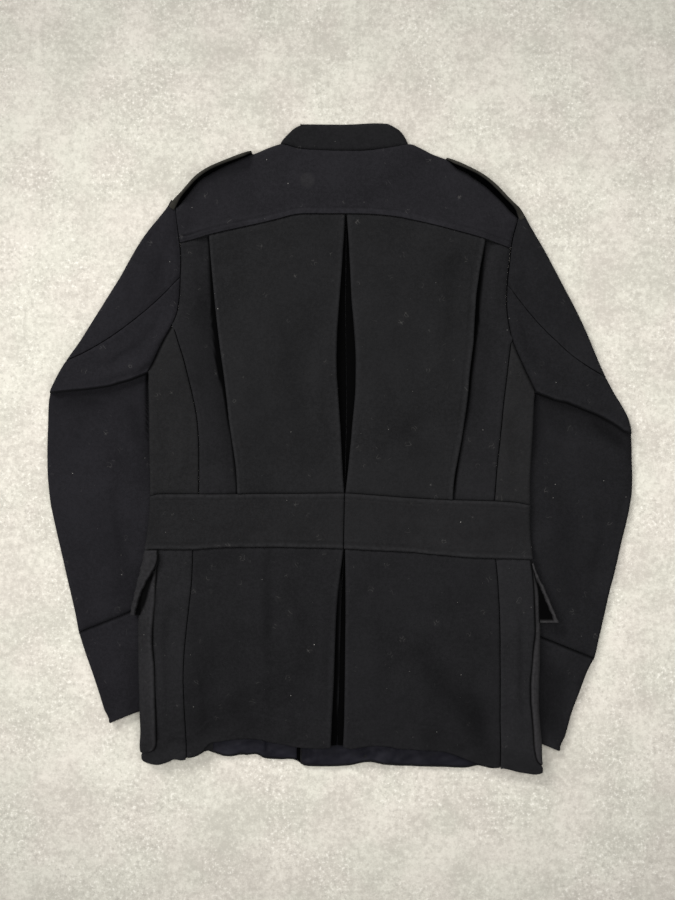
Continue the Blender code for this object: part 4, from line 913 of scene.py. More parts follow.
def back_side(side, mat):
    knife, gap, out = KNIFE[side], KNIFE_GAP[side], outer_line(side)
    v = spread(0, 1, 1 / 112, 0.3)
    columns = []
    for t in spread(0, 1, 1 / 34, 0.3):
        x, d = solve(lambda q: mix(out(q) - side * (EDGE - 1.9 * bell((q - CORNER[side] - 1.4)
                                                                      / 3.0)),
                                   knife(q) - side * 25.0, t), v, YOKE, BAND_TOP)
        dist = side * (x - gap(d))
        side_z = side_top(x, d) + body_relief(x, d)
        z = mix(lift(x, d) + 4.7, side_z + 0.5, ease((dist + 4.0) / 21.0))
        edge = side * (out(d) - x)
        arm = ease((CORNER[side] - d) / 8.0)
        z = z + seam(edge, d, mix(1.1, 1.7, arm), mix(2.2, 3.2, arm)) \
            + (1.0 - arm) * groove(edge, 6.4, 0.3, 0.9)
        z = z + seam(d - YOKE(x), x, 1.5, 2.6) + seam(BAND_TOP(x) - d, x, 1.3, 2.6)
        # painted shade: near black in the knife pleat's gap, and a soft painted shadow beside it
        shade = ease((d - md(250)) / 80.0) * ease((md(480) - d) / 90.0)
        painted_shade = np.maximum(ease((2.2 - dist) / 3.0), (0.30 if side < 0 else 0.22) * shade
                           * bell(np.maximum(dist, 0.0) / (17.0 if side < 0 else 12.0)))
        painted_shade = np.maximum(painted_shade, painted_shade_strokes(x, d))
        columns.append((x, d, z, painted_shade, 0.2 * bell(edge / 4.0) * (1.0 - painted_shade)))
    x, d, z, painted_shade, wear_and_highlight = stack(columns)
    sheet = Sheet("wool_back_side_" + LR[side])
    sheet.grid(x, d, z, None, True, painted_shade, wear_and_highlight)
    return sheet.build(BACK, mat, ["back_side_" + LR[side]], "wool",
                       ["wool_front_" + LR[side]])


def yoke(mat):
    v = spread(0, 1, 1 / 46, 0.45)
    columns = []
    for t in spread(0, 1, 1 / 165, 0.05):
        x, d = solve(lambda q: mix(ARM[-1](q) + EDGE, ARM[1](q) - EDGE, t), v, YOKE_EDGE, YOKE,
                     EDGE, EDGE - 0.75)
        top, low = d - YOKE_EDGE(x), YOKE(x) - d
        neck = ease((np.abs(x) - 68.0) / 10.0)
        z = yoke_top(x, d) + body_relief(x, d)
        up, _ = round_edge(top * mix(1.0, 0.8, neck), 0.0, z)
        z = mix(z + seam(top, x, 1.3, 3.0), np.maximum(up, z / 2 + 0.9), neck)
        z = z + mix(0.0, 1.0, ease((14.0 - low) / 10.0)) + groove(low, 6.2, 0.8, 1.0)
        arm = np.minimum(x - ARM[-1](d), ARM[1](d) - x)
        z = z + seam(arm, d, 1.5, 3.2)
        wear_and_highlight = 0.8 * bell((low - 2.0) / 4.5) + 0.25 * bell(top / 5.0) * neck
        # painted shadow of the shoulder straps along the yoke's edge
        strap = np.where(x < 0, ease((mx(252) - x) / 8.0) * ease((x - mx(177)) / 4.0),
                         ease((x - mx(450)) / 8.0) * ease((mx(517) - x) / 4.0))
        columns.append((x, d, z, 0.75 * strap * bell(top / 3.2), wear_and_highlight * (1.0 - strap)))
    x, d, z, painted_shade, wear_and_highlight = stack(columns)
    sheet = Sheet("wool_yoke")
    sheet.grid(x, d, z, None, True, painted_shade, wear_and_highlight)
    return sheet.build(BACK, mat, ["back_yoke"], "wool", ["wool_front_L", "wool_front_R"])


# ---------------------------------------------------- panels that fold round
def wrap(name, side, v, top, low, top_in, fold, low_in, ztop, zlow, extra=None,
         gap_top=EDGE, gap_low=EDGE, cols=(30, 9, 18), open_above=None, radius=None):
    """A panel from a seam on the back, round the side, to one on the front."""
    n_top, n_arc, n_low = cols
    columns = []

    def r_of(q):
        f = fold(q)
        r = np.clip((ztop(f - side * 3.0, q) - zlow(f - side * 3.0, q)) / 2.0, 0.6, 12.0)
        if radius is not None:
            r = np.minimum(r, radius(q))
        r = np.minimum(r, 0.8 * side * (f - top_in(q)))
        if open_above is not None:
            r = r * ease((q - open_above) / 5.0)
        return r

    def put(x_of, z_of):
        x, d = solve(x_of, v, top, low, gap_top, gap_low)
        painted_shade, wear_and_highlight = (0.0, 0.0) if extra is None else extra(x, d)
        columns.append((x, d, z_of(x, d), painted_shade, wear_and_highlight))

    for t in spread(0, 1, 1 / n_top, 0.3)[:-1]:
        put(lambda q: mix(top_in(q), fold(q) - side * r_of(q), t), ztop)
    first = len(columns)
    for a in np.linspace(90.0, -90.0, n_arc):
        s, c = math.sin(math.radians(a)), math.cos(math.radians(a))

        def height(x, d):
            q = fold(d) - side * r_of(d)
            hi, lo = ztop(q, d), zlow(q, d)
            return (hi + lo) / 2 + (hi - lo) / 2 * s
        put(lambda q: fold(q) - side * r_of(q) * (1.0 - c), height)
    for t in spread(0, 1, 1 / n_low, 0.2)[1:]:
        put(lambda q: mix(fold(q) - side * r_of(q), low_in(q), t), zlow)
    x, d, z, painted_shade, wear_and_highlight = stack(columns)
    mask = np.ones((x.shape[0] - 1, x.shape[1] - 1), bool)
    if open_above is not None:
        # above the armpit the two faces aren't joined round the side
        rows = d[:-1, first] < open_above
        mask[rows, first:first + n_arc - 1] = False
    sheet = Sheet(name)
    sheet.grid(x, d, z, (slice(None), slice(0, max(2, first - 1))), True, painted_shade, wear_and_highlight, mask)
    return sheet


def side_panel(side, mat):
    seam_line, corner = SIDE_SEAM[side], CORNER[side]
    pit = ARMPIT[side] + 1.5

    def fold(d):
        return np.where(d < pit, ARM[side](d) - side * EDGE, SIDE_FOLD[side](d))

    def ztop(x, d):
        z = side_top(x, d) + body_relief(x, d)
        z = z + seam(side * (x - seam_line(d)), d, 1.1, 2.2)
        z = z + seam(BAND_TOP(x) - d, x, 1.3, 2.6)
        z = z + seam(np.where(d < pit, side * (ARM[side](d) - x), 99.0), d, 1.6, 3.0)
        return z

    def extra(x, d):
        edge = side * (fold(d) - x)
        # painted shade in the slit at the armpit; wear and painted highlight along the side fold
        dark = (0.95 if side < 0 else 0.6) * bell(edge / 1.8) * ease((pit - d) / 4.0)
        wear_and_highlight = 0.25 * bell(side * (x - seam_line(d)) / 4.0) + 0.3 * bell(edge / 5.0)
        return dark, wear_and_highlight * (1.0 - dark)

    sheet = wrap("wool_side_panel_" + LR[side], side, spread(0, 1, 1 / 70, 0.2),
                 lambda x: corner + 1.4 + 0.0 * x, BAND_TOP,
                 lambda q: seam_line(q) + side * EDGE, fold,
                 lambda q: seam_line(q) + side * EDGE, ztop,
                 lambda x, d: lift(x, d) + 0.25 * unevenness(x + 40.0, d), extra,
                 cols=(20, 9, 12), open_above=pit)
    return sheet.build(BACK, mat, ["side_panel_" + LR[side]], "wool",
                       ["wool_sleeve_under_" + LR[side]])


def waistband(side, mat):
    fold = BAND_FOLD[side]
    end = -side * OVERLAP

    def ztop(x, d):
        up, dn = d - BAND_TOP(x), BAND_LOW(x) - d
        z = band_top(x, d) + 0.7 + body_relief(x, d)
        z = z + groove(up, 6.2, 0.8, 0.95) + groove(dn, 6.2, 0.8, 0.95)
        z = z + 0.55 * bell((up - 2.9) / 1.9) + 0.75 * bell((dn - 2.6) / 1.9)
        z = z + pucker(up, x, 0.2, 6.0) + pucker(dn, x + 9.0, 0.25, 7.0)
        z = z - 0.35 * bell(up / 1.8) - 0.35 * bell(dn / 1.8)
        z = z + seam(side * (x - BAND_CENTRE(d)), d, 1.2, 2.0)
        return z

    def zlow(x, d):
        up, dn = d - BAND_TOP(x), BAND_LOW(x) - d
        z = front_low(side, x, d, BAND) + 0.2 * unevenness(x + 70.0, d)
        return z + 0.3 * bell((up - 6.0) / 1.0) + 0.3 * bell((dn - 6.0) / 1.0)

    def extra(x, d):
        up, dn = d - BAND_TOP(x), BAND_LOW(x) - d
        return 0.0 * x, 1.0 * bell((up - 2.4) / 2.4) + 1.5 * bell((dn - 1.8) / 2.2)

    sheet = wrap("wool_waistband_" + LR[side], side, spread(0, 1, 1 / 26, 0.35), BAND_TOP,
                 BAND_LOW, lambda q: BAND_CENTRE(q) + side * EDGE * 0.9, fold,
                 lambda q: end + 0.0 * q, ztop, zlow, extra, EDGE - 0.6, EDGE - 0.6,
                 cols=(84, 9, 60))
    return sheet.build(BAND, mat, ["waistband_" + LR[side]], "wool_trim",
                       ["wool_sleeve_under_" + LR[side]])


def skirt_back(side, mat):
    edge, seam_line = VENT[side], SKIRT_SEAM[side]

    def middle(d):
        return 0.5 * (VENT[-1](d) + VENT[1](d))

    def ztop(x, d):
        inner, outer = side * (x - edge(d)), side * (seam_line(d) - x)
        z = band_top(x, d) + body_relief(x, d)
        z = z + 0.7 * bell(inner / 6.0) * ease((d - 510.0) / 60.0) + groove(inner, 6.4, 0.3, 1.0)
        z = z + seam(outer, d, 1.1, 2.2) + seam(d - BAND_LOW(x), x, 1.6, 2.8)
        hem = BACK_HEM(x) - d
        z = z + 0.5 * ease((34.0 - hem) / 6.0) + groove(hem, 31.0, 0.3, 1.2)
        z = z + 0.5 * bell(hem / 10.0) * np.sin(x * 0.075 + 1.3) - 0.5 * bell(hem / 4.0)
        return z

    def strip(x, d):
        """The pressed edge of the left underlay shows inside the vent."""
        if side > 0:
            return 0.0 * x, 0.0 * x
        near = bell((x - mx(340.2) + (d - md(600)) * 0.017) / 1.6) * ease((d - md(572)) / 14.0)
        near = near * (1.0 - 0.6 * bell((d - md(668)) / 22.0)) * ease((md(722) - d) / 30.0)
        return 1.6 * near, 0.6 * near

    v = spread(0, 1, 1 / 98, 0.25)
    columns = inverted_pleat(side, edge, middle, v, BAND_LOW, BACK_HEM, ztop, None, 0.0, strip)
    first = len(columns)
    for t in spread(0, 1, 1 / 68, 0.2)[1:]:
        x, d = solve(lambda q: mix(edge(q) + side * 2.6, seam_line(q) - side * EDGE, t), v,
                     BAND_LOW, BACK_HEM, EDGE, 0.0)
        # rubbed edges and painted highlight, with painted shade strokes
        wear_and_highlight = (0.7 * bell(side * (x - edge(d)) / 5.0) + 0.3 * bell((BACK_HEM(x) - d) / 5.0)
                + 0.2 * bell(side * (seam_line(d) - x) / 4.0))
        columns.append((x, d, ztop(x, d), painted_shade_strokes(x, d), wear_and_highlight))
    x, d, z, painted_shade, wear_and_highlight = stack(columns)
    sheet = Sheet("wool_skirt_back_" + LR[side])
    sheet.grid(x, d, z, (slice(None), slice(first, None)), True, painted_shade, wear_and_highlight)
    return sheet.build(BACK, mat, ["skirt_back_" + LR[side]], "wool",
                       ["wool_front_skirt_L", "wool_front_skirt_R"], rim=0.6)


POCKET_LOW = {-1: md(750.6), 1: md(760.8)}
def skirt_fold(side):
    def x_of(d):
        inset = 3.2 * ease((POCKET_LOW[side] + 6.0 - d) / 8.0)
        return SKIRT_FOLD[side](d) - side * inset
    return x_of


def skirt_side(side, mat):
    seam_line, fold = SKIRT_SEAM[side], skirt_fold(side)

    def ztop(x, d):
        z = band_top(x, d) + body_relief(x, d)
        z = z + seam(side * (x - seam_line(d)), d, 1.1, 2.2) + seam(d - BAND_LOW(x), x, 1.6, 2.8)
        hem = FRONT_HEM(x) - d
        return (z + 0.4 * ease((34.0 - hem) / 6.0) + groove(hem, 31.0, 0.3, 1.2)
                + 0.8 * bell(hem / 8.0) * np.sin(x * 0.21) - 0.5 * bell(hem / 4.0))

    def extra(x, d):
        under = side * (x - POCKET_REAR[side](d))
        # painted shadow of the pocket's rear edge, and painted shade strokes
        dark = 0.8 * ease((under + 2.2) / 2.6) * ease((POCKET_LOW[side] - d) / 3.0)
        return (np.maximum(dark, painted_shade_strokes(x, d)),
                0.25 * bell(side * (x - seam_line(d)) / 4.0))

    sheet = wrap("wool_skirt_side_" + LR[side], side, spread(0, 1, 1 / 92, 0.25), BAND_LOW,
                 FRONT_HEM, lambda q: seam_line(q) + side * EDGE, fold,
                 lambda q: seam_line(q) + side * EDGE, ztop,
                 lambda x, d: lift(x, d) + 0.15 * unevenness(x + 40.0, d), extra,
                 EDGE, 0.0, cols=(24, 9, 14))
    return sheet.build(BACK, mat, ["skirt_side_" + LR[side]], "wool",
                       ["wool_sleeve_under_" + LR[side]], rim=0.6)


def pocket(side, mat):
    rear, low_d = POCKET_REAR[side], POCKET_LOW[side]

    def fold(d):
        # the fold lies 0.3 mm outside the skirt's fold
        return SKIRT_FOLD[side](d) + side * 0.3

    def ztop(x, d):
        q = np.minimum(np.abs(fold(d)), np.abs(x)) * side
        z = band_top(q, d) + PLY + 0.25 * unevenness(x, d)
        edge = side * (x - rear(d))
        low = low_d - d
        return z - 0.9 * bell(np.minimum(edge, low) / 1.6) + groove(edge, 5.4, 0.35, 0.9)

    def extra(x, d):
        # painted shade: the hollow under the flap and a dark line at the pocket's rear edge; painted
        # highlight beside it
        dark = ease((side * (x - SLOT[side](d)) + 3.2) / 3.4)
        dark = dark * ease((d - md(566)) / 8.0) * ease((FLAP[side][-1][0] + 1.0 - d) / 4.0)
        edge = side * (x - rear(d))
        dark = np.maximum(dark, bell(edge / 1.3))
        return 0.95 * dark, 0.9 * bell((edge - 3.0) / 5.0) * (1.0 - dark)

    sheet = wrap("wool_pocket_" + LR[side], side, spread(0, 1, 1 / 80, 0.3), BAND_LOW,
                 lambda x: low_d + 0.0 * x, lambda q: rear(q), fold,
                 lambda q: POCKET_FRONT[side] + 0.0 * q, ztop,
                 lambda x, d: lift(x, d) - PLY + 0.12 * unevenness(x + 70.0, d), extra,
                 4.2, 0.0, cols=(10, 9, 34))
    return sheet.build(BACK, mat, ["pocket_" + LR[side]], "wool_trim",
                       ["wool_sleeve_under_" + LR[side]], rim=0.6)


def flap(side, mat):
    rows = FLAP[side]
    inner_line, fold_line = (Line([(r[0], r[k]) for r in rows]) for k in (1, 2))
    first, last = rows[0][0], rows[-1][0]
    body = SKIRT_FOLD[side]

    def inner(d):
        return inner_line(d) + 0.30 * np.sin(d * 0.55 + 1.0) + 0.2 * np.sin(d * 1.3)

    def outer(d):
        return fold_line(d) + 0.35 * np.sin(d * 0.42) + 0.22 * np.sin(d * 1.05 + 2.0)

    def ztop(x, d):
        tip = ease((d - (first + 8.0)) / 60.0)
        z = band_top(body(d), d) + mix(PLY + 3.4, PLY + 2.4, tip) + 0.25 * unevenness(x, d)
        within = side * (x - inner(d))
        foot = ease((last - 2.6 - d) / 1.2) if side > 0 else 1.0
        z = z - 3.1 * ease((0.8 - within) / 1.6) * foot * ease((d - first - 12.0) / 14.0)
        z = z + 0.5 * bell((within - 1.2) / 1.2) + 0.4 * bell((side * (outer(d) - x) - 2.0) / 1.4)
        return z + 0.35 * bell(within / 4.0) * np.sin(d * 0.55)

    def extra(x, d):
        within = side * (x - inner(d))
        foot = ease((last - 1.6 - d) / 1.4) if side > 0 else 1.0
        # painted shade inside the flap's hollow; the rest painted lighter, wear and highlight
        dark = ease((0.2 - within) / 1.2) * foot * ease((d - first - 14.0) / 10.0)
        if side < 0:
            dark = np.maximum(dark, 0.9 * bell(within / 1.3) * ease((first + 24.0 - d) / 6.0))
        return dark, 1.1 * (1.0 - dark)

    sheet = wrap("wool_pocket_flap_" + LR[side], side, spread(0, 1, 1 / 44, 0.3),
                 lambda x: first + 0.0 * x, lambda x: last + 0.0 * x, SLOT[side], outer,
                 lambda q: POCKET_FRONT[side] + 0.0 * q, ztop,
                 lambda x, d: lift(x, d) - 2 * PLY + 0.1 * unevenness(x + 30.0, d), extra,
                 0.0, 0.0, cols=(18, 11, 34),
                 radius=lambda q: 0.45 * side * (outer(q) - inner(q)) + 0.4)
    return sheet.build(BACK, mat, ["pocket_flap_" + LR[side]], "wool_trim",
                       ["wool_pocket_" + LR[side]], rim=0.6)


# -------------------------------------------------------------------- sleeves
def sleeve_tables(side):
    rows = SLEEVE[side]
    n = np.arange(len(rows), dtype=float)
    return [Line(list(zip(n, [r[k] for r in rows]))) for k in range(5)]


HIGH = Line([(0.0, 11.0), (1.0, 12.0), (3.0, 12.2), (5.0, 13.0), (6.0, 13.8), (6.6, 14.8),
             (6.9, 15.2), (7.0, 15.0), (7.1, 13.6), (7.18, 11.0), (7.26, 8.4), (7.4, 6.9),
             (7.7, 6.5), (8.0, 6.9), (8.5, 7.8), (9.0, 8.4), (10.0, 8.3), (12.0, 8.2)])
FOLD_LINE = {
    -1: across((46, 392.6), (60, 391), (75, 389.4), (90, 388), (110, 385), (120, 382),
               (130, 379), (140, 375), (150, 371)),
    1: across((534, 391), (545, 395), (555, 399), (565, 401), (575, 405), (585, 409),
              (595, 413), (605, 418), (615, 424), (625, 432), (634, 441)),
}
SLEEVE_END = 12.0 - EDGE / 94.0


def sleeve_point(side, at, t):
    """x, d, width and share for a row's place and a share across it."""
    out_d, in_x, in_d, sag, _ = sleeve_tables(side)
    od, idn = out_d(at), in_d(at)
    ox = SIL[side](od)
    arm = ease((7.0 - at) / 0.001)
    ix = np.where(at <= 7.0, ARM[side](idn), in_x(at))
    x = mix(ox, ix, t)
    d = mix(od, idn, t) + 4.0 * sag(at) * t * (1.0 - t)
    # near the arm fold the rows follow the fold's own line
    near = bell((at - 7.0) / 0.75)
    row7 = mix(out_d(7.0), in_d(7.0), t) + 4.0 * sag(7.0) * t * (1.0 - t)
    return x, d + near * (FOLD_LINE[side](x) - row7) * ease(t / 0.12) * ease((1.0 - t) / 0.06), \
        np.hypot(ix - ox, idn - od), arm


def sleeve_rows():
    return np.unique(np.round(np.concatenate([
        [0.0, 0.03, 0.07, 0.12, 0.18], spread(0.25, 4.0, 0.075),
        spread(4.0, 5.0, 0.07), spread(5.0, 6.4, 0.085), spread(6.4, 6.9, 0.1),
        spread(6.9, 7.5, 0.035), spread(7.5, 8.0, 0.16), spread(8.0, 9.0, 0.07),
        spread(9.0, 10.0, 0.055), spread(10.0, 11.0, 0.031), spread(11.0, SLEEVE_END, 0.031)]),
        5))


def sleeve(side, mat_upper, mat_under):
    at = sleeve_rows()
    end = EDGE
    cols = spread(0, 1, 1 / 62, 0.45)
    A, T = np.meshgrid(at, cols, indexing="ij")
    below = A > 7.0
    _, _, width, _ = sleeve_point(side, A, T)
    T = np.where(below, T, T * (1.0 - end / width))
    x, d, width, _ = sleeve_point(side, A, T)
    m, back = T * width, (1.0 - T) * width
    high = HIGH(A)
    rise = np.sqrt(np.clip(1.0 - (1.0 - np.clip(A * 42.0 / 7.0, 0, 1)) ** 2, 0, 1))
    wide = np.minimum(high / 2, width * 0.3) / (high / 2)
    up, dn = round_edge(m, 0.0 * high, high, wide)
    up2, dn2 = round_edge(back, 0.0 * high, high, wide)
    joined = ease((7.12 - A) / 0.12)
    in_x, in_d = x[:, -1:], d[:, -1:]
    arm_low = lift(in_x, in_d)
    body = np.where(in_d < YOKE(in_x), yoke_top(in_x, in_d), side_top(in_x, in_d))
    near = ease((T - 0.45) / 0.55)
    up_head, dn_head = mix(up, body, near), mix(dn, arm_low, near)
    up = mix(np.minimum(up, up2), up_head, joined)
    dn = mix(np.maximum(dn, dn2), dn_head, joined)
    mid = 5.5
    up = mix(mid, up, rise)
    dn = mix(mid, dn, rise)
    relief = sleeve_relief(x, d)
    inside = ease(m / 9.0) * np.where(below, ease(back / 9.0), 1.0) * rise
    up = up + relief * inside
    # the head stands full beside the armhole seam, then falls into it
    head = joined * rise * np.where(A < 6.9, 1.0, 0.0)
    up = up + head * (1.5 * bell((back - 13.0) / 9.0) + seam(back, d, 1.8, 3.4))
    seam_d = np.array([np.interp(x_, np.sort(xs), ds[np.argsort(xs)]) for x_, xs, ds in [
        (x.ravel(), *[q[int(np.argmin(np.abs(at - 4.0)))] for q in (x, d)])]]).reshape(x.shape)
    up = up + seam((d - seam_d) * np.where(A <= 4.0, -1.0, 1.0) * 0.8, x, 0.5, 2.0) \
        * ease(m / 5.0) + 0.35 * bell(((d - seam_d) * 0.8 + 5.0) / 2.4) * ease(m / 8.0)
    low_end = (SLEEVE_END - A) * 94.0
    up = up + seam(low_end, x, 1.1, 2.4) * ease(m / 4.0) * ease(back / 4.0)
    dn = np.maximum(dn, 0.02)
    lag = (A - SLEEVE_END + 0.35) / 0.35
    wear_and_highlight = 0.25 * bell((d - seam_d) / 4.0) + 0.5 * bell((A - 6.93) / 0.12) * ease(m / 12.0) \
        + 0.2 * bell(m / 6.0)
    # painted shade: a shadow line under the arm fold, a soft band below it, the slit beside the body
    # and the armhole's hollow, and painted shade strokes
    painted_shade = np.where(A > 7.1, 1.0, 0.0) * bell((A - 7.21) / 0.10) * mix(0.25, 1.0, ease(m / 60.0))
    below_fold = d - FOLD_LINE[side](x)
    out = side * (x - SIDE_FOLD[side](d))
    lower = np.where(A > 7.1, 1.0, 0.0)
    if side < 0:
        soft = 0.26 * bell(below_fold / 38.0)
        slit = bell((out - 3.0) / mix(3.2, 2.3, ease((d - md(392)) / 30.0))) \
            * ease((md(462) - d) / 50.0)
        soft = np.maximum(soft, 0.34 * bell(out / 15.0) * ease((md(520) - d) / 90.0))
    else:
        soft = 0.34 * bell(below_fold / 22.0)
        slit = 0.5 * bell((out - 1.0) / 3.0) * ease((md(440) - d) / 40.0)
        soft = np.maximum(soft, 0.36 * bell(out / 16.0) * ease((md(500) - d) / 90.0))
    painted_shade = np.maximum(painted_shade, lower * np.maximum(np.maximum(soft, slit), painted_shade_strokes(x, d)))
    hole = (0.9 if side < 0 else 0.5) * bell(back / 1.7) * ease((d - md(312)) / 22.0)
    painted_shade = np.maximum(painted_shade, hole * np.where(below, 0.0, 1.0))
    wear_and_highlight = wear_and_highlight * (1.0 - painted_shade)
    k4 = int(np.argmin(np.abs(at - 4.0)))
    k7 = int(np.argmax(at > 7.0))

    upper = Sheet("wool_sleeve_upper_" + LR[side])
    top_d = d.copy()
    top_d[k4] -= 0.86 * ease(m[k4] / 4.0)
    top_d[k4 - 1] = np.minimum(top_d[k4 - 1], top_d[k4] - 0.5)
    k = slice(0, k4 + 1)
    upper.grid(x[k], top_d[k], up[k], (slice(3, None), slice(4, -4)), True, painted_shade[k], wear_and_highlight[k])
    low = dn.copy()
    low[k4 + 1:, 0] = mid_z(up, dn)[k4 + 1:, 0] - 0.8
    low[k7:, -1] = mid_z(up, dn)[k7:, -1] - 0.8
    for n in (1, 2):
        low[k4 + 1:, n] = np.minimum(low[k4 + 1:, n], low[k4 + 1:, 0] - 0.25 * n)
        low[k7:, -1 - n] = np.minimum(low[k7:, -1 - n], low[k7:, -1] - 0.25 * n)
    low = np.maximum(low, 0.02)
    few = np.unique(np.concatenate([np.arange(0, k4 + 1), np.arange(k4, len(at), 2),
                                    [k4, k7, len(at) - 1]]))
    d = d + 3.0 * ease(lag)
    upper.grid(x[few], d[few], low[few], (slice(3, None), slice(8, -8)), False, join="across")
    made = upper.build(BACK, mat_upper, ["sleeve_upper_" + LR[side]], "wool", [FLOOR])

    under = Sheet("wool_sleeve_under_" + LR[side])
    high_z = up.copy()
    high_z[:, 0] = mid_z(up, dn)[:, 0] + 0.8
    high_z[k7:, -1] = mid_z(up, dn)[k7:, -1] + 0.8
    for n in (1, 2):
        high_z[:, n] = np.maximum(high_z[:, n], high_z[:, 0] + 0.25 * n)
        high_z[k7:, -1 - n] = np.maximum(high_z[k7:, -1 - n], high_z[k7:, -1] + 0.25 * n)
    low_d = d - 3.0 * ease(lag)
    low_d[k4] += mix(1.6, 0.86, ease(m[k4] / 4.0))
    low_d[k4 + 1] = np.maximum(low_d[k4 + 1], low_d[k4] + 0.5)
    k = slice(k4, None)
    under.grid(x[k], low_d[k], high_z[k], (slice(3, None), slice(8, -8)), True, painted_shade[k],
               wear_and_highlight[k])
    under.build(BACK, mat_under, ["sleeve_under_" + LR[side]], "wool",
                ["wool_sleeve_upper_" + LR[side]])
    return made


def mid_z(a, b):
    return (a + b) / 2


def cuff(side, mat):
    ox, od, ix, idn = CUFF_HEM[side]
    out_d, in_x, in_d, _, _ = sleeve_tables(side)
    v = spread(0, 1, 1 / 36, 0.3)
    t = spread(0, 1, 1 / 56, 0.45)
    V, T = np.meshgrid(v, t, indexing="ij")
    V2 = mix(EDGE / 100.0, 1.0, V)
    do = mix(out_d(12.0), od, V2)
    xo = mix(SIL[side](do), ox, ease((V2 - 0.85) / 0.15))
    xi, di = mix(in_x(12.0), ix, V2), mix(in_d(12.0), idn, V2)
    x, d = mix(xo, xi, T), mix(do, di, T)
    width = np.hypot(xi - xo, di - do)
    high = 8.6 + 0.0 * x
    wide = 1.0
    m = np.minimum(T, 1.0 - T) * width
    up, dn = round_edge(m, 0.0 * high, high, wide)
    inside = ease(m / 9.0)
    start, hem = V2 * 112.0, (1.0 - V2) * 112.0
    up = up + inside * (sleeve_relief(x, d)
                        + seam(start, x, 1.0, 2.2) - 0.6 * bell(hem / 3.0)
                        + groove(hem, 8.0, 0.4, 0.9) + 0.5 * bell(hem / 9.0) * np.sin(x * 0.13))
    wear_and_highlight = 0.35 * bell(hem / 4.0) + 0.2 * bell(start / 4.0)
    sheet = Sheet("wool_cuff_" + LR[side])
    # painted shade strokes and a painted shaded line at the cuff's seam
    dark = np.maximum(painted_shade_strokes(x, d), bell(start / 1.7))
    sheet.grid(x, d, up, (slice(None), slice(8, -8)), True, dark, wear_and_highlight * (1.0 - dark))
    d = d + 3.0 * bell(start / 22.0) * ease(m / 3.0)
    sheet.grid(x[::2], d[::2], np.maximum(dn[::2], 0.02), (slice(None), slice(8, -8)), False,
               join="across")
    return sheet.build(FRONT, mat, ["cuff_" + LR[side]], "wool_trim", [FLOOR], rim=0.6)


# ------------------------------------------------------------- collar, straps
HEIGHT = 1.30                  # of the camera over the surface, m


def collar(mat):
    left = Line([(0.0, 78.3), (0.3, 74.0), (0.7, 67.0), (0.92, 61.6), (1.0, 57.0)])
    right = Line([(0.0, 76.5), (0.3, 73.8), (0.7, 68.2), (0.92, 62.2), (1.0, 57.0)])
    high = Line([(0.0, 15.0), (0.3, 14.2), (0.7, 12.2), (1.0, 9.4)])
    top_line = across((290, 126), (305, 125.6), (345, 126), (375, 124.6), (400, 126))
    w = spread(0, 1, 1 / 18, 0.35)

    def back_d(x, q):
        return mix(NECK(np.clip(x, -76.0, 76.0)) - EDGE, top_line(x), q)

    def front_d(x, q):
        t = np.minimum(np.abs(x), 76.0) / 76.0
        return NECKLINE(np.abs(x)) - EDGE - (27.5 + 6.5 * (1.0 - t * t)) * q

    columns = []

    def put(x, d, z, wear_and_highlight=0.0):
        columns.append((x, d, z, 0.0, wear_and_highlight))

    h = high(w)
    r = h / 2
    for t in np.linspace(0.0, 1.0, 16):
        x = -(t * 0.985 + 0.015) * (left(w) - r)
        put(x, front_d(x, w), 0.02 + 0.0 * w)
    for n, a in enumerate(np.linspace(270.0, 90.0, 11)[1:-1]):
        x = -left(w) + r + r * math.cos(math.radians(a))
        share = (n + 1) / 10
        put(x, mix(front_d(x, w), back_d(x, w), share), r + r * math.sin(math.radians(a)))
    first = len(columns)
    for t in np.linspace(0.0, 1.0, 56):
        x = mix(-(left(w) - r), right(w) - r, t)
        d = back_d(x, w)
        dist = NECK(x) - d
        z = (h + 0.5 * unevenness(x, d + 50.0) + seam(dist, x, 1.6, 2.6)
             + groove(dist, 5.5, 0.3, 0.9) + groove((1.0 - w) * 32.0, 5.5, 0.45, 0.9)
             - 0.7 * bell((1.0 - w) * 32.0 / 2.6))
        put(x, d, z, 0.7 * bell((1.0 - w) * 32.0 / 5.0) + 0.15)
    last = len(columns)
    for n, a in enumerate(np.linspace(90.0, -90.0, 11)[1:-1]):
        x = right(w) - r + r * math.cos(math.radians(a))
        share = (n + 1) / 10
        put(x, mix(back_d(x, w), front_d(x, w), share), r + r * math.sin(math.radians(a)))
    for t in np.linspace(1.0, 0.0, 16):
        x = (t * 0.985 + 0.015) * (right(w) - r)
        put(x, front_d(x, w), 0.02 + 0.0 * w)
    x, d, z, painted_shade, wear_and_highlight = stack(columns)
    sheet = Sheet("wool_collar")
    sheet.grid(x, d, z, (slice(None), slice(first, last)), True, painted_shade, wear_and_highlight)
    return sheet.build(COLLAR, mat, ["collar_stand"], "wool_trim", ["wool_front_L"], rim=0.8)


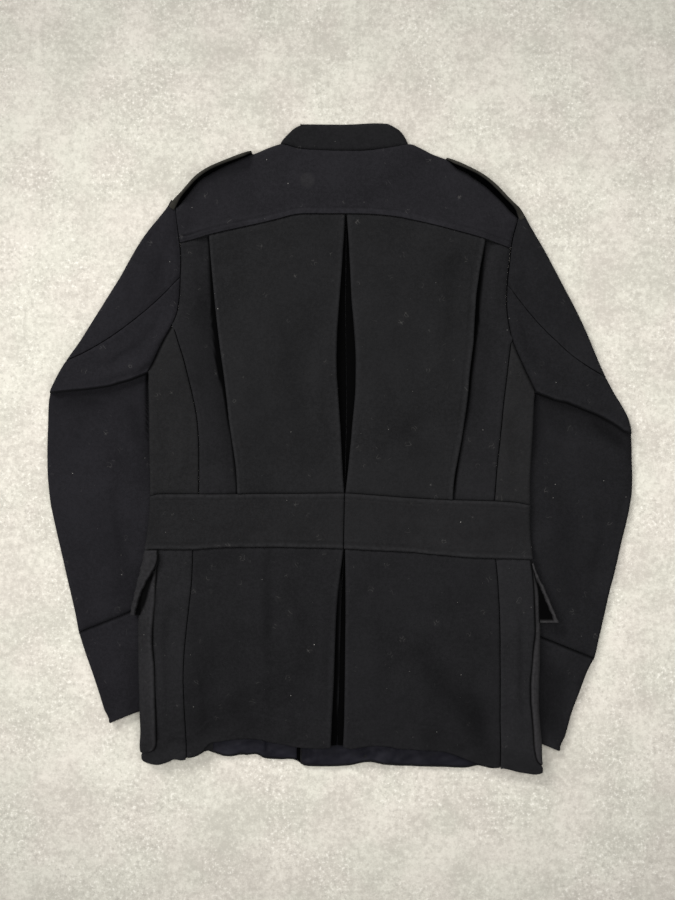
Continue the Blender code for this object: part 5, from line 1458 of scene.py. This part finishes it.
def shoulder_strap(side, mat):
    path = np.array([(mx(u), md(v)) for u, v in STRAP_OUT[side]])
    run = np.concatenate([[0], np.cumsum(np.hypot(*np.diff(path, axis=0).T))])
    px, pd = Line(list(zip(run, path[:, 0]))), Line(list(zip(run, path[:, 1])))
    s = spread(0, 1, 1 / 46, 0.3) * run[-1]
    x, d = px(s), pd(s)
    tx, td = np.gradient(x, s), np.gradient(d, s)
    n = np.hypot(tx, td)
    # towards the body, square to the path
    nx, nd = -side * td / n, side * tx / n
    nx, nd = np.where(nd < 0, -nx, nx), np.where(nd < 0, -nd, nd)
    # how far in the shoulder's own edge lies
    steps = np.arange(0.0, 16.0, 0.1)
    qx, qd = x[:, None] + nx[:, None] * steps, d[:, None] + nd[:, None] * steps
    within = qd > YOKE_EDGE(qx)
    reach = np.where(within.any(axis=1), steps[within.argmax(axis=1)], 6.0)
    reach = np.clip(reach, 2.6, 14.0)
    tip = 1 - ease(s / 12.0)
    foot = 1 - ease((run[-1] - s) / 26.0)
    high = 25.0 - 8.5 * tip - 11.0 * foot
    wall = 5.3 - 1.3 * tip + 4.0 * foot
    columns = []
    # painted shade on the flange under the strap and up its inner wall; wear and painted highlight
    # along its top
    for t, z0 in ((1.0, 4.3), (0.6, 4.1), (0.3, 4.2), (0.0, 4.9)):
        columns.append((mix(wall, np.maximum(reach + 1.4, wall + 0.8), t), z0 + 0.0 * s, 1.0, 0.0))
    for h in (0.15, 0.35, 0.55, 0.75, 0.88):
        off = wall - 0.15 - 0.4 * h + 0.35 * np.sin(s * 0.09 + 1.0) * h
        columns.append((off, mix(4.9, high, h), float(1 - ease((h - 0.72) / 0.2)), 0.0))
    for t in (0.12, 0.35, 0.65, 1.0):
        off = mix(wall - 0.6, 1.5, t) + 0.3 * np.sin(s * 0.11) * (1.0 - t)
        columns.append((off, high - 0.9 * (1.0 - t) ** 3 + 0.25 * math.sin(t * 3.1), 0.0,
                        0.5 + 0.7 * t))
    grid = []
    for off, z, painted_shade, wear_and_highlight in columns:
        off = off * (HEIGHT * 1000.0 - 10.0) / (HEIGHT * 1000.0) + 0.0 * s
        # seen from above, what stands tall moves out: draw it in by as much
        px_, pd_ = x + nx * off + MOVE[0] + 3.05, d + nd * off - MOVE[1] - 1.69
        k = (HEIGHT * 1000.0 - z) / (HEIGHT * 1000.0 - 10.0)
        grid.append((px_ * k - MOVE[0] - 3.05, pd_ * k + MOVE[1] + 1.69, z, painted_shade, wear_and_highlight))
    x, d, z, painted_shade, wear_and_highlight = stack(grid)
    sheet = Sheet("wool_shoulder_strap_" + LR[side])
    sheet.grid(x, d, z, (slice(None), slice(0, 3)), True, painted_shade, wear_and_highlight)
    return sheet.build(2.4, mat, ["shoulder_strap_" + LR[side]], "wool_trim",
                       ["wool_yoke", FLOOR], rim=0.9)


# --------------------------------------------------------------------- fronts
def front(side, mat):
    out = outer_line(side)
    end = -side * OVERLAP
    v = spread(0, 1, 1 / 74, 0.15)
    columns = []
    for t in spread(0, 1, 1 / 52, 0.15):
        x, d = solve(lambda q: mix(out(q) - side * EDGE, end + 0.0 * q, t), v, front_top,
                     BAND_TOP)
        top = d - front_top(x)
        level = front_low(side, x, d, FRONT)
        shoulder = ease((np.abs(x) - 66.0) / 12.0)
        _, low = round_edge(top * 0.8, 0.0 * x, SHOULDER + 0.0 * x)
        z = mix(level, np.maximum(level, np.minimum(low, SHOULDER / 2 - 0.9)), shoulder)
        away = ease(top / 20.0)
        relief = crease_height(x, d, FRONT_CREASES) + 0.5 * unevenness(x + 120.0, d)
        room = np.minimum(1.0, level)   # never under the surface it lies on
        z = z + away * np.clip(relief, -room * 0.9, 1.2) * 0.6
        edge = side * (x - end)
        z = z + 0.3 * bell((edge - 6.0) / 1.0) + 0.4 * bell((BAND_TOP(x) - d) / 2.5)
        columns.append((x, d, np.maximum(z, 0.02), 0.0, 0.4 * bell(edge / 4.0)))
    x, d, z, painted_shade, wear_and_highlight = stack(columns)
    sheet = Sheet("wool_front_" + LR[side])
    sheet.grid(x, d, z, None, False, painted_shade, wear_and_highlight)
    return sheet.build(FRONT, mat, ["front_" + LR[side]], "wool", [FLOOR])


def front_skirt(side, mat):
    line, end = SKIRT_SEAM[side], -side * OVERLAP
    v = spread(0, 1, 1 / 62, 0.15)
    columns = []
    for t in spread(0, 1, 1 / 52, 0.15):
        x, d = solve(lambda q: mix(line(q) - side * EDGE, end + 0.0 * q, t), v, BAND_LOW,
                     FRONT_HEM, EDGE, 0.0)
        level = front_low(side, x, d, FRONT)
        relief = crease_height(x, d, FRONT_CREASES) + 0.5 * unevenness(x + 120.0, d)
        room = np.minimum(1.0, level)
        z = level + np.clip(relief, -room * 0.9, 1.2) * 0.6
        z = z + 0.25 * crease_height(x, d, HEM_CREASES)
        edge = side * (x - end)
        z = z + 0.3 * bell((edge - 6.0) / 1.0)
        # painted shadow of the right front's edge on the left front
        slit = ease((x + 61.5) / 1.5) * ease((-51.0 - x) / 1.5) if side < 0 else 0.0
        columns.append((x, d, np.maximum(z, 0.02), slit, 0.4 * bell(edge / 4.0)))
    x, d, z, painted_shade, wear_and_highlight = stack(columns)
    sheet = Sheet("wool_front_skirt_" + LR[side])
    sheet.grid(x, d, z, None, False, painted_shade, wear_and_highlight)
    return sheet.build(FRONT, mat, ["front_skirt_" + LR[side]], "wool", [FLOOR], rim=0.6)


def hem_facing(side, mat):
    x0, x1 = (-160.5, -59.2) if side < 0 else (186.0, -52.6)
    v = spread(0, 1, 1 / 20, 0.3)
    columns = []
    for x in spread(x0, x1, 2.4):
        xs = np.full(v.shape, x)
        top, low = FACING_TOP + 0.0 * xs, FRONT_HEM(xs) - 2.4
        d = mix(top, low, v)
        z = (front_low(side, xs, d, FRONT) + FRONT + 0.4 + FACING
             + crease_height(xs, d, HEM_CREASES) * 0.38 + 0.5 * unevenness(xs + 90.0, d)
             + 0.5 * bell((low - d) / 9.0) * np.sin(xs * 0.16)
             + 0.35 * ease((d - BACK_HEM(xs)) / 6.0) * np.sin(xs * 0.31 + d * 0.22)
             * np.sin(d * 0.37 - xs * 0.11))
        z = np.minimum(z, back_base(xs, d) - 0.2 + 3.0 * ease((d - BACK_HEM(xs)) / 5.0))
        behind = BACK_HEM(xs) - d
        # painted shade where the facing runs under the back's hem
        painted_shade = 0.55 * ease((behind + 4.0) / 4.0)
        columns.append((xs, d, z, painted_shade, 0.0))
    x, d, z, painted_shade, wear_and_highlight = stack(columns)
    sheet = Sheet("facing_hem_" + LR[side])
    sheet.grid(x, d, z, None, True, painted_shade, wear_and_highlight)
    return sheet.build(FACING, mat, ["hem_facing_" + LR[side]], "facing_cloth",
                       ["wool_front_skirt_" + LR[side]])


def button(index, d, mat):
    """Turned four-hole button, its face down."""
    rings = [(0.0, 1.35), (0.9, 1.35), (1.6, 1.35), (2.3, 1.35), (3.0, 1.35), (3.8, 1.36),
             (4.8, 1.42), (5.8, 1.62), (6.8, 1.95), (7.8, 2.2), (8.8, 2.3), (9.8, 2.28),
             (10.5, 2.08), (10.9, 1.7), (11.0, 1.25), (10.85, 0.7), (10.2, 0.25), (9.0, 0.08),
             (7.0, 0.02), (4.5, 0.0), (2.2, 0.0), (0.0, 0.0)]
    around = 56
    verts, faces, rows = [], [], []
    for r, h in rings:
        if r == 0.0:
            rows.append([len(verts)] * around)
            verts.append((0.0, 0.0, h))
            continue
        row = []
        for k in range(around):
            a = 2 * math.pi * k / around
            px, py, ph = r * math.cos(a), r * math.sin(a), h
            if h > 1.0 and r < 5.0:
                for hx, hy in ((1.7, 1.7), (-1.7, 1.7), (1.7, -1.7), (-1.7, -1.7)):
                    q = math.hypot(px - hx, py - hy)
                    ph -= 0.9 * math.exp(-(q / 0.75) ** 4)
            row.append(len(verts))
            verts.append((px, py, ph))
        rows.append(row)
    for a, b in zip(rows, rows[1:]):
        for k in range(around):
            n = (k + 1) % around
            ring = [a[k], b[k], b[n], a[n]]
            ring = [v for i, v in enumerate(ring) if v != ring[i - 1]]
            if len(set(ring)) > 2:
                faces.append(tuple(ring))
    placed = [tuple(place(30.0 + px, d + py, 2.32 - ph)) for px, py, ph in verts]
    return finished("horn_button_%d" % index, placed, faces, mat, ["button_%d" % index])


# ------------------------------------------------------------------ materials
class Nodes:
    def __init__(self, name):
        self.mat = bpy.data.materials.new(name)
        self.mat.use_nodes = True
        self.tree = self.mat.node_tree
        self.shader = self.tree.nodes["Principled BSDF"]
        coord = self.tree.nodes.new("ShaderNodeTexCoord")
        self.place = coord.outputs["Object"]

    def noise(self, scale, detail=2.0, rough=0.5, at=None):
        n = self.tree.nodes.new("ShaderNodeTexNoise")
        n.inputs["Scale"].default_value = scale
        n.inputs["Detail"].default_value = detail
        n.inputs["Roughness"].default_value = rough
        self.tree.links.new(at or self.place, n.inputs["Vector"])
        return n.outputs["Fac"]

    def ramp(self, value, a, b, low=0.0, high=1.0):
        n = self.tree.nodes.new("ShaderNodeMapRange")
        n.interpolation_type = "SMOOTHSTEP"
        for key, v in (("From Min", a), ("From Max", b), ("To Min", low), ("To Max", high)):
            n.inputs[key].default_value = v
        self.tree.links.new(value, n.inputs["Value"])
        return n.outputs["Result"]

    def math(self, op, a, b):
        n = self.tree.nodes.new("ShaderNodeMath")
        n.operation = op
        for k, v in enumerate((a, b)):
            if isinstance(v, (int, float)):
                n.inputs[k].default_value = v
            else:
                self.tree.links.new(v, n.inputs[k])
        return n.outputs[0]

    def colour(self, fac, a, b):
        n = self.tree.nodes.new("ShaderNodeMix")
        n.data_type = "RGBA"
        for key, v in ((6, a), (7, b)):
            if isinstance(v, tuple):
                n.inputs[key].default_value = (*v, 1.0)
            else:
                self.tree.links.new(v, n.inputs[key])
        if isinstance(fac, (int, float)):
            n.inputs[0].default_value = fac
        else:
            self.tree.links.new(fac, n.inputs[0])
        return n.outputs[2]

    def attribute(self, name):
        n = self.tree.nodes.new("ShaderNodeAttribute")
        n.attribute_name = name
        return n.outputs["Fac"]

    def flat(self, scale=(1.0, 1.0, 0.0), turn=0.0):
        n = self.tree.nodes.new("ShaderNodeMapping")
        n.inputs["Scale"].default_value = scale
        n.inputs["Rotation"].default_value = (0.0, 0.0, turn)
        self.tree.links.new(self.place, n.inputs["Vector"])
        return n.outputs[0]

    def bump(self, parts):
        last = None
        for height, strength, distance in parts:
            n = self.tree.nodes.new("ShaderNodeBump")
            n.inputs["Strength"].default_value = strength
            n.inputs["Distance"].default_value = distance
            self.tree.links.new(height, n.inputs["Height"])
            if last is not None:
                self.tree.links.new(last, n.inputs["Normal"])
            last = n.outputs["Normal"]
        self.tree.links.new(last, self.shader.inputs["Normal"])

    def set(self, **values):
        for key, v in values.items():
            self.shader.inputs[key.replace("_", " ")].default_value = v


def wool(name, tint, lint=1.0, pale=1.0, chalk=None):
    m = Nodes(name)
    dark, light = tuple(c * 0.80 for c in tint), tuple(c * 1.22 for c in tint)
    fine = m.noise(560.0, 3.0, 0.6)
    tufts = m.noise(230.0, 2.0, 0.55)
    cloud = m.noise(30.0, 3.0, 0.55)
    wide = m.noise(7.0, 2.0, 0.5)
    mixed = m.math("ADD", m.math("MULTIPLY", fine, 0.46), m.math("MULTIPLY", tufts, 0.30))
    mixed = m.math("ADD", mixed, m.math("MULTIPLY", cloud, 0.24))
    colour = m.colour(m.ramp(mixed, 0.36, 0.64), dark, light)
    colour = m.colour(m.ramp(wide, 0.35, 0.65, 0.0, 0.25), colour, tuple(c * 1.3 for c in tint))
    # rubbed edges, and painted highlight along pleat folds, seams and turned edges that catch the
    # light
    rub_and_highlight = m.math("MULTIPLY", m.attribute("wear_and_highlight"), m.ramp(tufts, 0.25, 0.75, 0.35, 1.0))
    colour = m.colour(m.math("MULTIPLY", rub_and_highlight, 0.5), colour,
                      tuple(c * 2.0 * pale for c in tint))
    # lint: small pale tufts and short curled threads
    warp = m.noise(340.0, 1.0, 0.5, m.flat())
    v = m.tree.nodes.new("ShaderNodeTexVoronoi")
    v.voronoi_dimensions = "2D"
    v.inputs["Scale"].default_value = 34.0
    m.tree.links.new(m.flat(), v.inputs["Vector"])
    size = m.tree.nodes.new("ShaderNodeSeparateColor")
    m.tree.links.new(v.outputs["Color"], size.inputs["Color"])
    reach = m.ramp(size.outputs[0], 0.58, 1.0, 0.0, 0.017)
    reach = m.math("MULTIPLY", reach, m.ramp(warp, 0.3, 0.7, 0.3, 1.5))
    speck = m.ramp(m.math("SUBTRACT", reach, v.outputs["Distance"]), 0.0, 0.006)
    speck = m.math("MULTIPLY", speck, m.ramp(size.outputs[1], 0.0, 1.0, 0.06, 0.62))
    v2 = m.tree.nodes.new("ShaderNodeTexVoronoi")
    v2.voronoi_dimensions = "2D"
    v2.inputs["Scale"].default_value = 46.0
    m.tree.links.new(m.flat(turn=0.6), v2.inputs["Vector"])
    size2 = m.tree.nodes.new("ShaderNodeSeparateColor")
    m.tree.links.new(v2.outputs["Color"], size2.inputs["Color"])
    # a thread is a bent line that shows in a small round of its cell only
    bend = m.noise(170.0, 0.0, 0.5, m.flat(turn=0.9))
    line = m.ramp(m.math("ABSOLUTE", m.math("SUBTRACT", bend, 0.5), 0.0), 0.006, 0.030, 1.0, 0.0)
    spot = m.math("SUBTRACT", m.ramp(size2.outputs[0], 0.0, 1.0, 0.06, 0.22),
                  v2.outputs["Distance"])
    curl = m.math("MULTIPLY", line, m.ramp(spot, 0.0, 0.08))
    curl = m.math("MULTIPLY", curl, m.ramp(size2.outputs[2], 0.40, 1.0, 0.0, 0.075))
    haze = m.math("MULTIPLY", m.ramp(spot, -0.02, 0.08),
                  m.ramp(size2.outputs[2], 0.70, 1.0, 0.0, 0.004))
    curl = m.math("ADD", curl, haze)
    total = m.math("MULTIPLY", m.math("MAXIMUM", speck, curl), lint)
    if chalk is not None:
        # a faint rubbed round
        n = m.tree.nodes.new("ShaderNodeVectorMath")
        n.operation = "DISTANCE"
        m.tree.links.new(m.flat(), n.inputs[0])
        n.inputs[1].default_value = (chalk[0], chalk[1], 0.0)
        total = m.math("ADD", total, m.math("MULTIPLY", m.ramp(
            m.math("ADD", n.outputs["Value"], m.math("MULTIPLY", tufts, 0.004)),
            chalk[2] * 1.25, chalk[2] * 0.8), 0.012))
    keep = m.math("SUBTRACT", 1.0, m.attribute("painted_shade"))
    total = m.math("MULTIPLY", total, keep)
    colour = m.colour(total, colour, (0.42, 0.41, 0.39))
    # painted shade: near-black cloth where shade falls, inside the pleats and gaps, in slits and
    # under folds, flaps and straps
    colour = m.colour(m.attribute("painted_shade"), colour, (0.0005, 0.0005, 0.0006))
    m.tree.links.new(colour, m.shader.inputs["Base Color"])
    m.set(Roughness=0.95, Specular_IOR_Level=0.04, Sheen_Weight=0.012, Sheen_Roughness=0.5)
    m.shader.inputs["Sheen Tint"].default_value = (0.8, 0.82, 0.9, 1.0)
    m.bump([(m.noise(130.0, 3.0, 0.6), 0.4, 0.0006), (fine, 0.5, 0.0004)])
    return m.mat


def facing_mat():
    m = Nodes("facing_twill")
    fine = m.noise(420.0, 2.0, 0.5)
    cloud = m.noise(40.0, 3.0, 0.6)
    colour = m.colour(m.ramp(cloud, 0.35, 0.65), (0.0060, 0.0060, 0.0094), (0.0104, 0.0103, 0.0150))
    # painted shade where the facing runs under the back's hem
    colour = m.colour(m.attribute("painted_shade"), colour, (0.0015, 0.0015, 0.002))
    m.tree.links.new(colour, m.shader.inputs["Base Color"])
    m.set(Roughness=0.62, Specular_IOR_Level=0.08, Sheen_Weight=0.008, Sheen_Roughness=0.4)
    w = m.tree.nodes.new("ShaderNodeTexWave")
    w.bands_direction = "DIAGONAL"
    w.inputs["Scale"].default_value = 420.0
    w.inputs["Distortion"].default_value = 0.6
    m.tree.links.new(m.place, w.inputs["Vector"])
    m.bump([(fine, 0.3, 0.0003), (w.outputs["Fac"], 0.25, 0.0002)])
    return m.mat


def horn_mat():
    m = Nodes("button_horn")
    warp = m.noise(160.0, 3.0, 0.6)
    colour = m.colour(m.ramp(warp, 0.35, 0.7), (0.010, 0.009, 0.009), (0.035, 0.028, 0.024))
    m.tree.links.new(colour, m.shader.inputs["Base Color"])
    m.set(Roughness=0.32, Specular_IOR_Level=0.5)
    m.bump([(m.noise(900.0, 2.0, 0.5), 0.15, 0.0001)])
    return m.mat


def floor_mat():
    """Pale screed: soft clouds, grainy patches and fine light specks."""
    m = Nodes("floor_screed")
    wide = m.noise(2.2, 2.0, 0.5)
    cloud = m.noise(17.0, 4.0, 0.62)
    patch = m.ramp(m.noise(11.0, 3.0, 0.6, m.flat(turn=0.4)), 0.42, 0.62)
    fine = m.noise(240.0, 3.0, 0.7)
    grain = m.noise(120.0, 5.0, 0.8)
    mixed = m.math("ADD", m.math("MULTIPLY", wide, 0.12), m.math("MULTIPLY", cloud, 0.33))
    mixed = m.math("ADD", mixed, m.math("MULTIPLY", grain, 0.55))
    colour = m.colour(m.ramp(mixed, 0.39, 0.61), FLOOR_DARK, FLOOR_LIGHT)
    tone = m.colour(m.ramp(m.noise(13.0, 2.0, 0.5, m.flat(turn=1.1)), 0.35, 0.65),
                    (0.988, 1.0, 0.985), (1.008, 0.992, 0.992))
    n = m.tree.nodes.new("ShaderNodeMix")
    n.data_type, n.blend_type = "RGBA", "MULTIPLY"
    n.inputs[0].default_value = 1.0
    m.tree.links.new(colour, n.inputs[6])
    m.tree.links.new(tone, n.inputs[7])
    light = m.math("MULTIPLY", m.ramp(fine, 0.55, 0.70), m.ramp(patch, 0.0, 1.0, 0.18, 0.75))
    colour = m.colour(light, n.outputs[2], (0.86, 0.84, 0.78))
    dim = m.math("MULTIPLY", m.ramp(fine, 0.44, 0.32), m.ramp(patch, 0.0, 1.0, 0.10, 0.40))
    colour = m.colour(dim, colour, tuple(c * 0.72 for c in FLOOR_DARK))
    # painted light fall-off: the floor is darker away from the middle
    pool_distance = m.tree.nodes.new("ShaderNodeVectorMath")
    pool_distance.operation = "DISTANCE"
    m.tree.links.new(m.flat((0.8, 1.0, 0.0)), pool_distance.inputs[0])
    pool_distance.inputs[1].default_value = (-0.05, -0.05, 0.0)
    painted_falloff = m.tree.nodes.new("ShaderNodeMix")
    painted_falloff.data_type, painted_falloff.blend_type = "RGBA", "MULTIPLY"
    painted_falloff.inputs[0].default_value = 1.0
    m.tree.links.new(colour, painted_falloff.inputs[6])
    m.tree.links.new(m.colour(m.ramp(pool_distance.outputs["Value"], 0.28, 0.72), (1.0, 1.0, 1.0),
                              (0.80, 0.805, 0.81)), painted_falloff.inputs[7])
    m.tree.links.new(painted_falloff.outputs[2], m.shader.inputs["Base Color"])
    m.set(Roughness=0.95, Specular_IOR_Level=0.1)
    m.bump([(grain, 0.25, 0.0008)])
    return m.mat


FLOOR_DARK, FLOOR_LIGHT = (0.510, 0.488, 0.440), (0.690, 0.668, 0.605)

# ------------------------------------------------------------------- the scene
FLOOR = "studio_floor"
floor_mesh = bpy.data.meshes.new(FLOOR)
floor_mesh.from_pydata([(-4, -4, -0.0004), (4, -4, -0.0004), (4, 4, -0.0004), (-4, 4, -0.0004)],
                       [], [(0, 1, 2, 3)])
floor_obj = bpy.data.objects.new(FLOOR, floor_mesh)
bpy.context.scene.collection.objects.link(floor_obj)
floor_mesh.materials.append(floor_mat())

# One melton in several tints, each piece's tint set to the tone it shows under these lamps: partly
# the cloth's own tone, partly painted light and shade, the collar darker and the straps, pockets and
# flaps lighter.
WOOL = wool("wool_melton", (0.0113, 0.0114, 0.0123))
WOOL_SIDE = wool("wool_melton_side", (0.0112, 0.0112, 0.0124))
WOOL_UNDERARM = wool("wool_melton_underarm", (0.0122, 0.0122, 0.0130))
WOOL_SKIRT = wool("wool_melton_skirt", (0.0101, 0.0101, 0.0112))
WOOL_SKIRT_SIDE = wool("wool_melton_skirt_side", (0.0124, 0.0124, 0.0137))
WOOL_YOKE = wool("wool_melton_yoke", (0.0130, 0.0127, 0.0150), chalk=(-0.0397, 0.3247, 0.0105))
WOOL_ARM = {-1: wool("wool_melton_arm_L", (0.0118, 0.0115, 0.0138)),
            1: wool("wool_melton_arm_R", (0.0102, 0.0102, 0.0115))}
WOOL_TRIM = wool("wool_melton_trim", (0.0114, 0.0114, 0.0123))
# painted shade: the collar is tinted darker than the trim, against the light its raised slope
# catches
WOOL_COLLAR_SHADED = wool("wool_melton_collar_painted_shade", (0.0093, 0.0093, 0.0103))
# painted highlight: the straps are tinted lighter and warmer, for their lit standing edges
WOOL_STRAP_LIT = wool("wool_melton_strap_painted_highlight", (0.0205, 0.0196, 0.0168), 0.6)
WOOL_POCKET = {-1: wool("wool_melton_pocket_L", (0.0152, 0.0150, 0.0164), 0.8),
               1: wool("wool_melton_pocket_R", (0.0192, 0.0188, 0.0202), 0.8)}
WOOL_FLAP = {-1: wool("wool_melton_flap_L", (0.0132, 0.0130, 0.0142), 0.8),
             1: wool("wool_melton_flap_R", (0.0198, 0.0194, 0.0206), 0.8)}
LINING = facing_mat()
HORN = horn_mat()

for side in (-1, 1):
    sleeve(side, WOOL_ARM[side], WOOL_ARM[side])
    cuff(side, WOOL_ARM[side])
    front(side, WOOL)
    front_skirt(side, WOOL)
    hem_facing(side, LINING)
    side_panel(side, WOOL_UNDERARM)
    back_side(side, WOOL_SIDE)
    back_centre(side, WOOL)
    waistband(side, WOOL_TRIM)
    skirt_side(side, WOOL_SKIRT_SIDE)
    skirt_back(side, WOOL_SKIRT)
    pocket(side, WOOL_POCKET[side])
    flap(side, WOOL_FLAP[side])
    shoulder_strap(side, WOOL_STRAP_LIT)
yoke(WOOL_YOKE)
collar(WOOL_COLLAR_SHADED)
for n, d in enumerate((60.0, 175.0, 290.0, 405.0, 520.0)):
    button(n + 1, d, HORN)

# ---------------------------------------------------------- camera and lights
cam_data = bpy.data.cameras.new("camera")
cam_data.sensor_width = 36.0
cam_data.lens = 36.0 * (HEIGHT * 1000.0 - 10.0) / 1093.8
cam_data.clip_start, cam_data.clip_end = 0.05, 20.0
cam = bpy.data.objects.new("camera", cam_data)
bpy.context.scene.collection.objects.link(cam)
cam.location = (-0.00305, -0.00169, HEIGHT)
cam.rotation_euler = (0.0, 0.0, 0.0)
bpy.context.scene.camera = cam


def area_light(name, place_, aim, size, power, colour):
    data = bpy.data.lights.new(name, "AREA")
    data.shape = "RECTANGLE"
    data.size, data.size_y = size
    data.energy = power
    data.color = colour
    obj = bpy.data.objects.new(name, data)
    bpy.context.scene.collection.objects.link(obj)
    obj.location = place_
    obj.rotation_euler = (Vector(aim) - Vector(place_)).to_track_quat("-Z", "Y").to_euler()
    return obj


area_light("key_window", (-3.0, 3.9, 3.4), (0.0, 0.0, 0.0), (2.4, 1.8), 268.0,
           (1.0, 0.985, 0.96))
area_light("over_head", (0.0, -0.03, 1.36), (0.0, -0.03, 0.0), (2.0, 0.5), 20.0,
           (1.0, 0.985, 0.96))
world = bpy.data.worlds.new("studio")
bpy.context.scene.world = world
world.use_nodes = True
world.node_tree.nodes["Background"].inputs[0].default_value = (1.0, 0.985, 0.955, 1.0)
world.node_tree.nodes["Background"].inputs[1].default_value = 0.20
bpy.context.scene.view_settings.view_transform = "Standard"
bpy.context.scene.view_settings.look = "None"
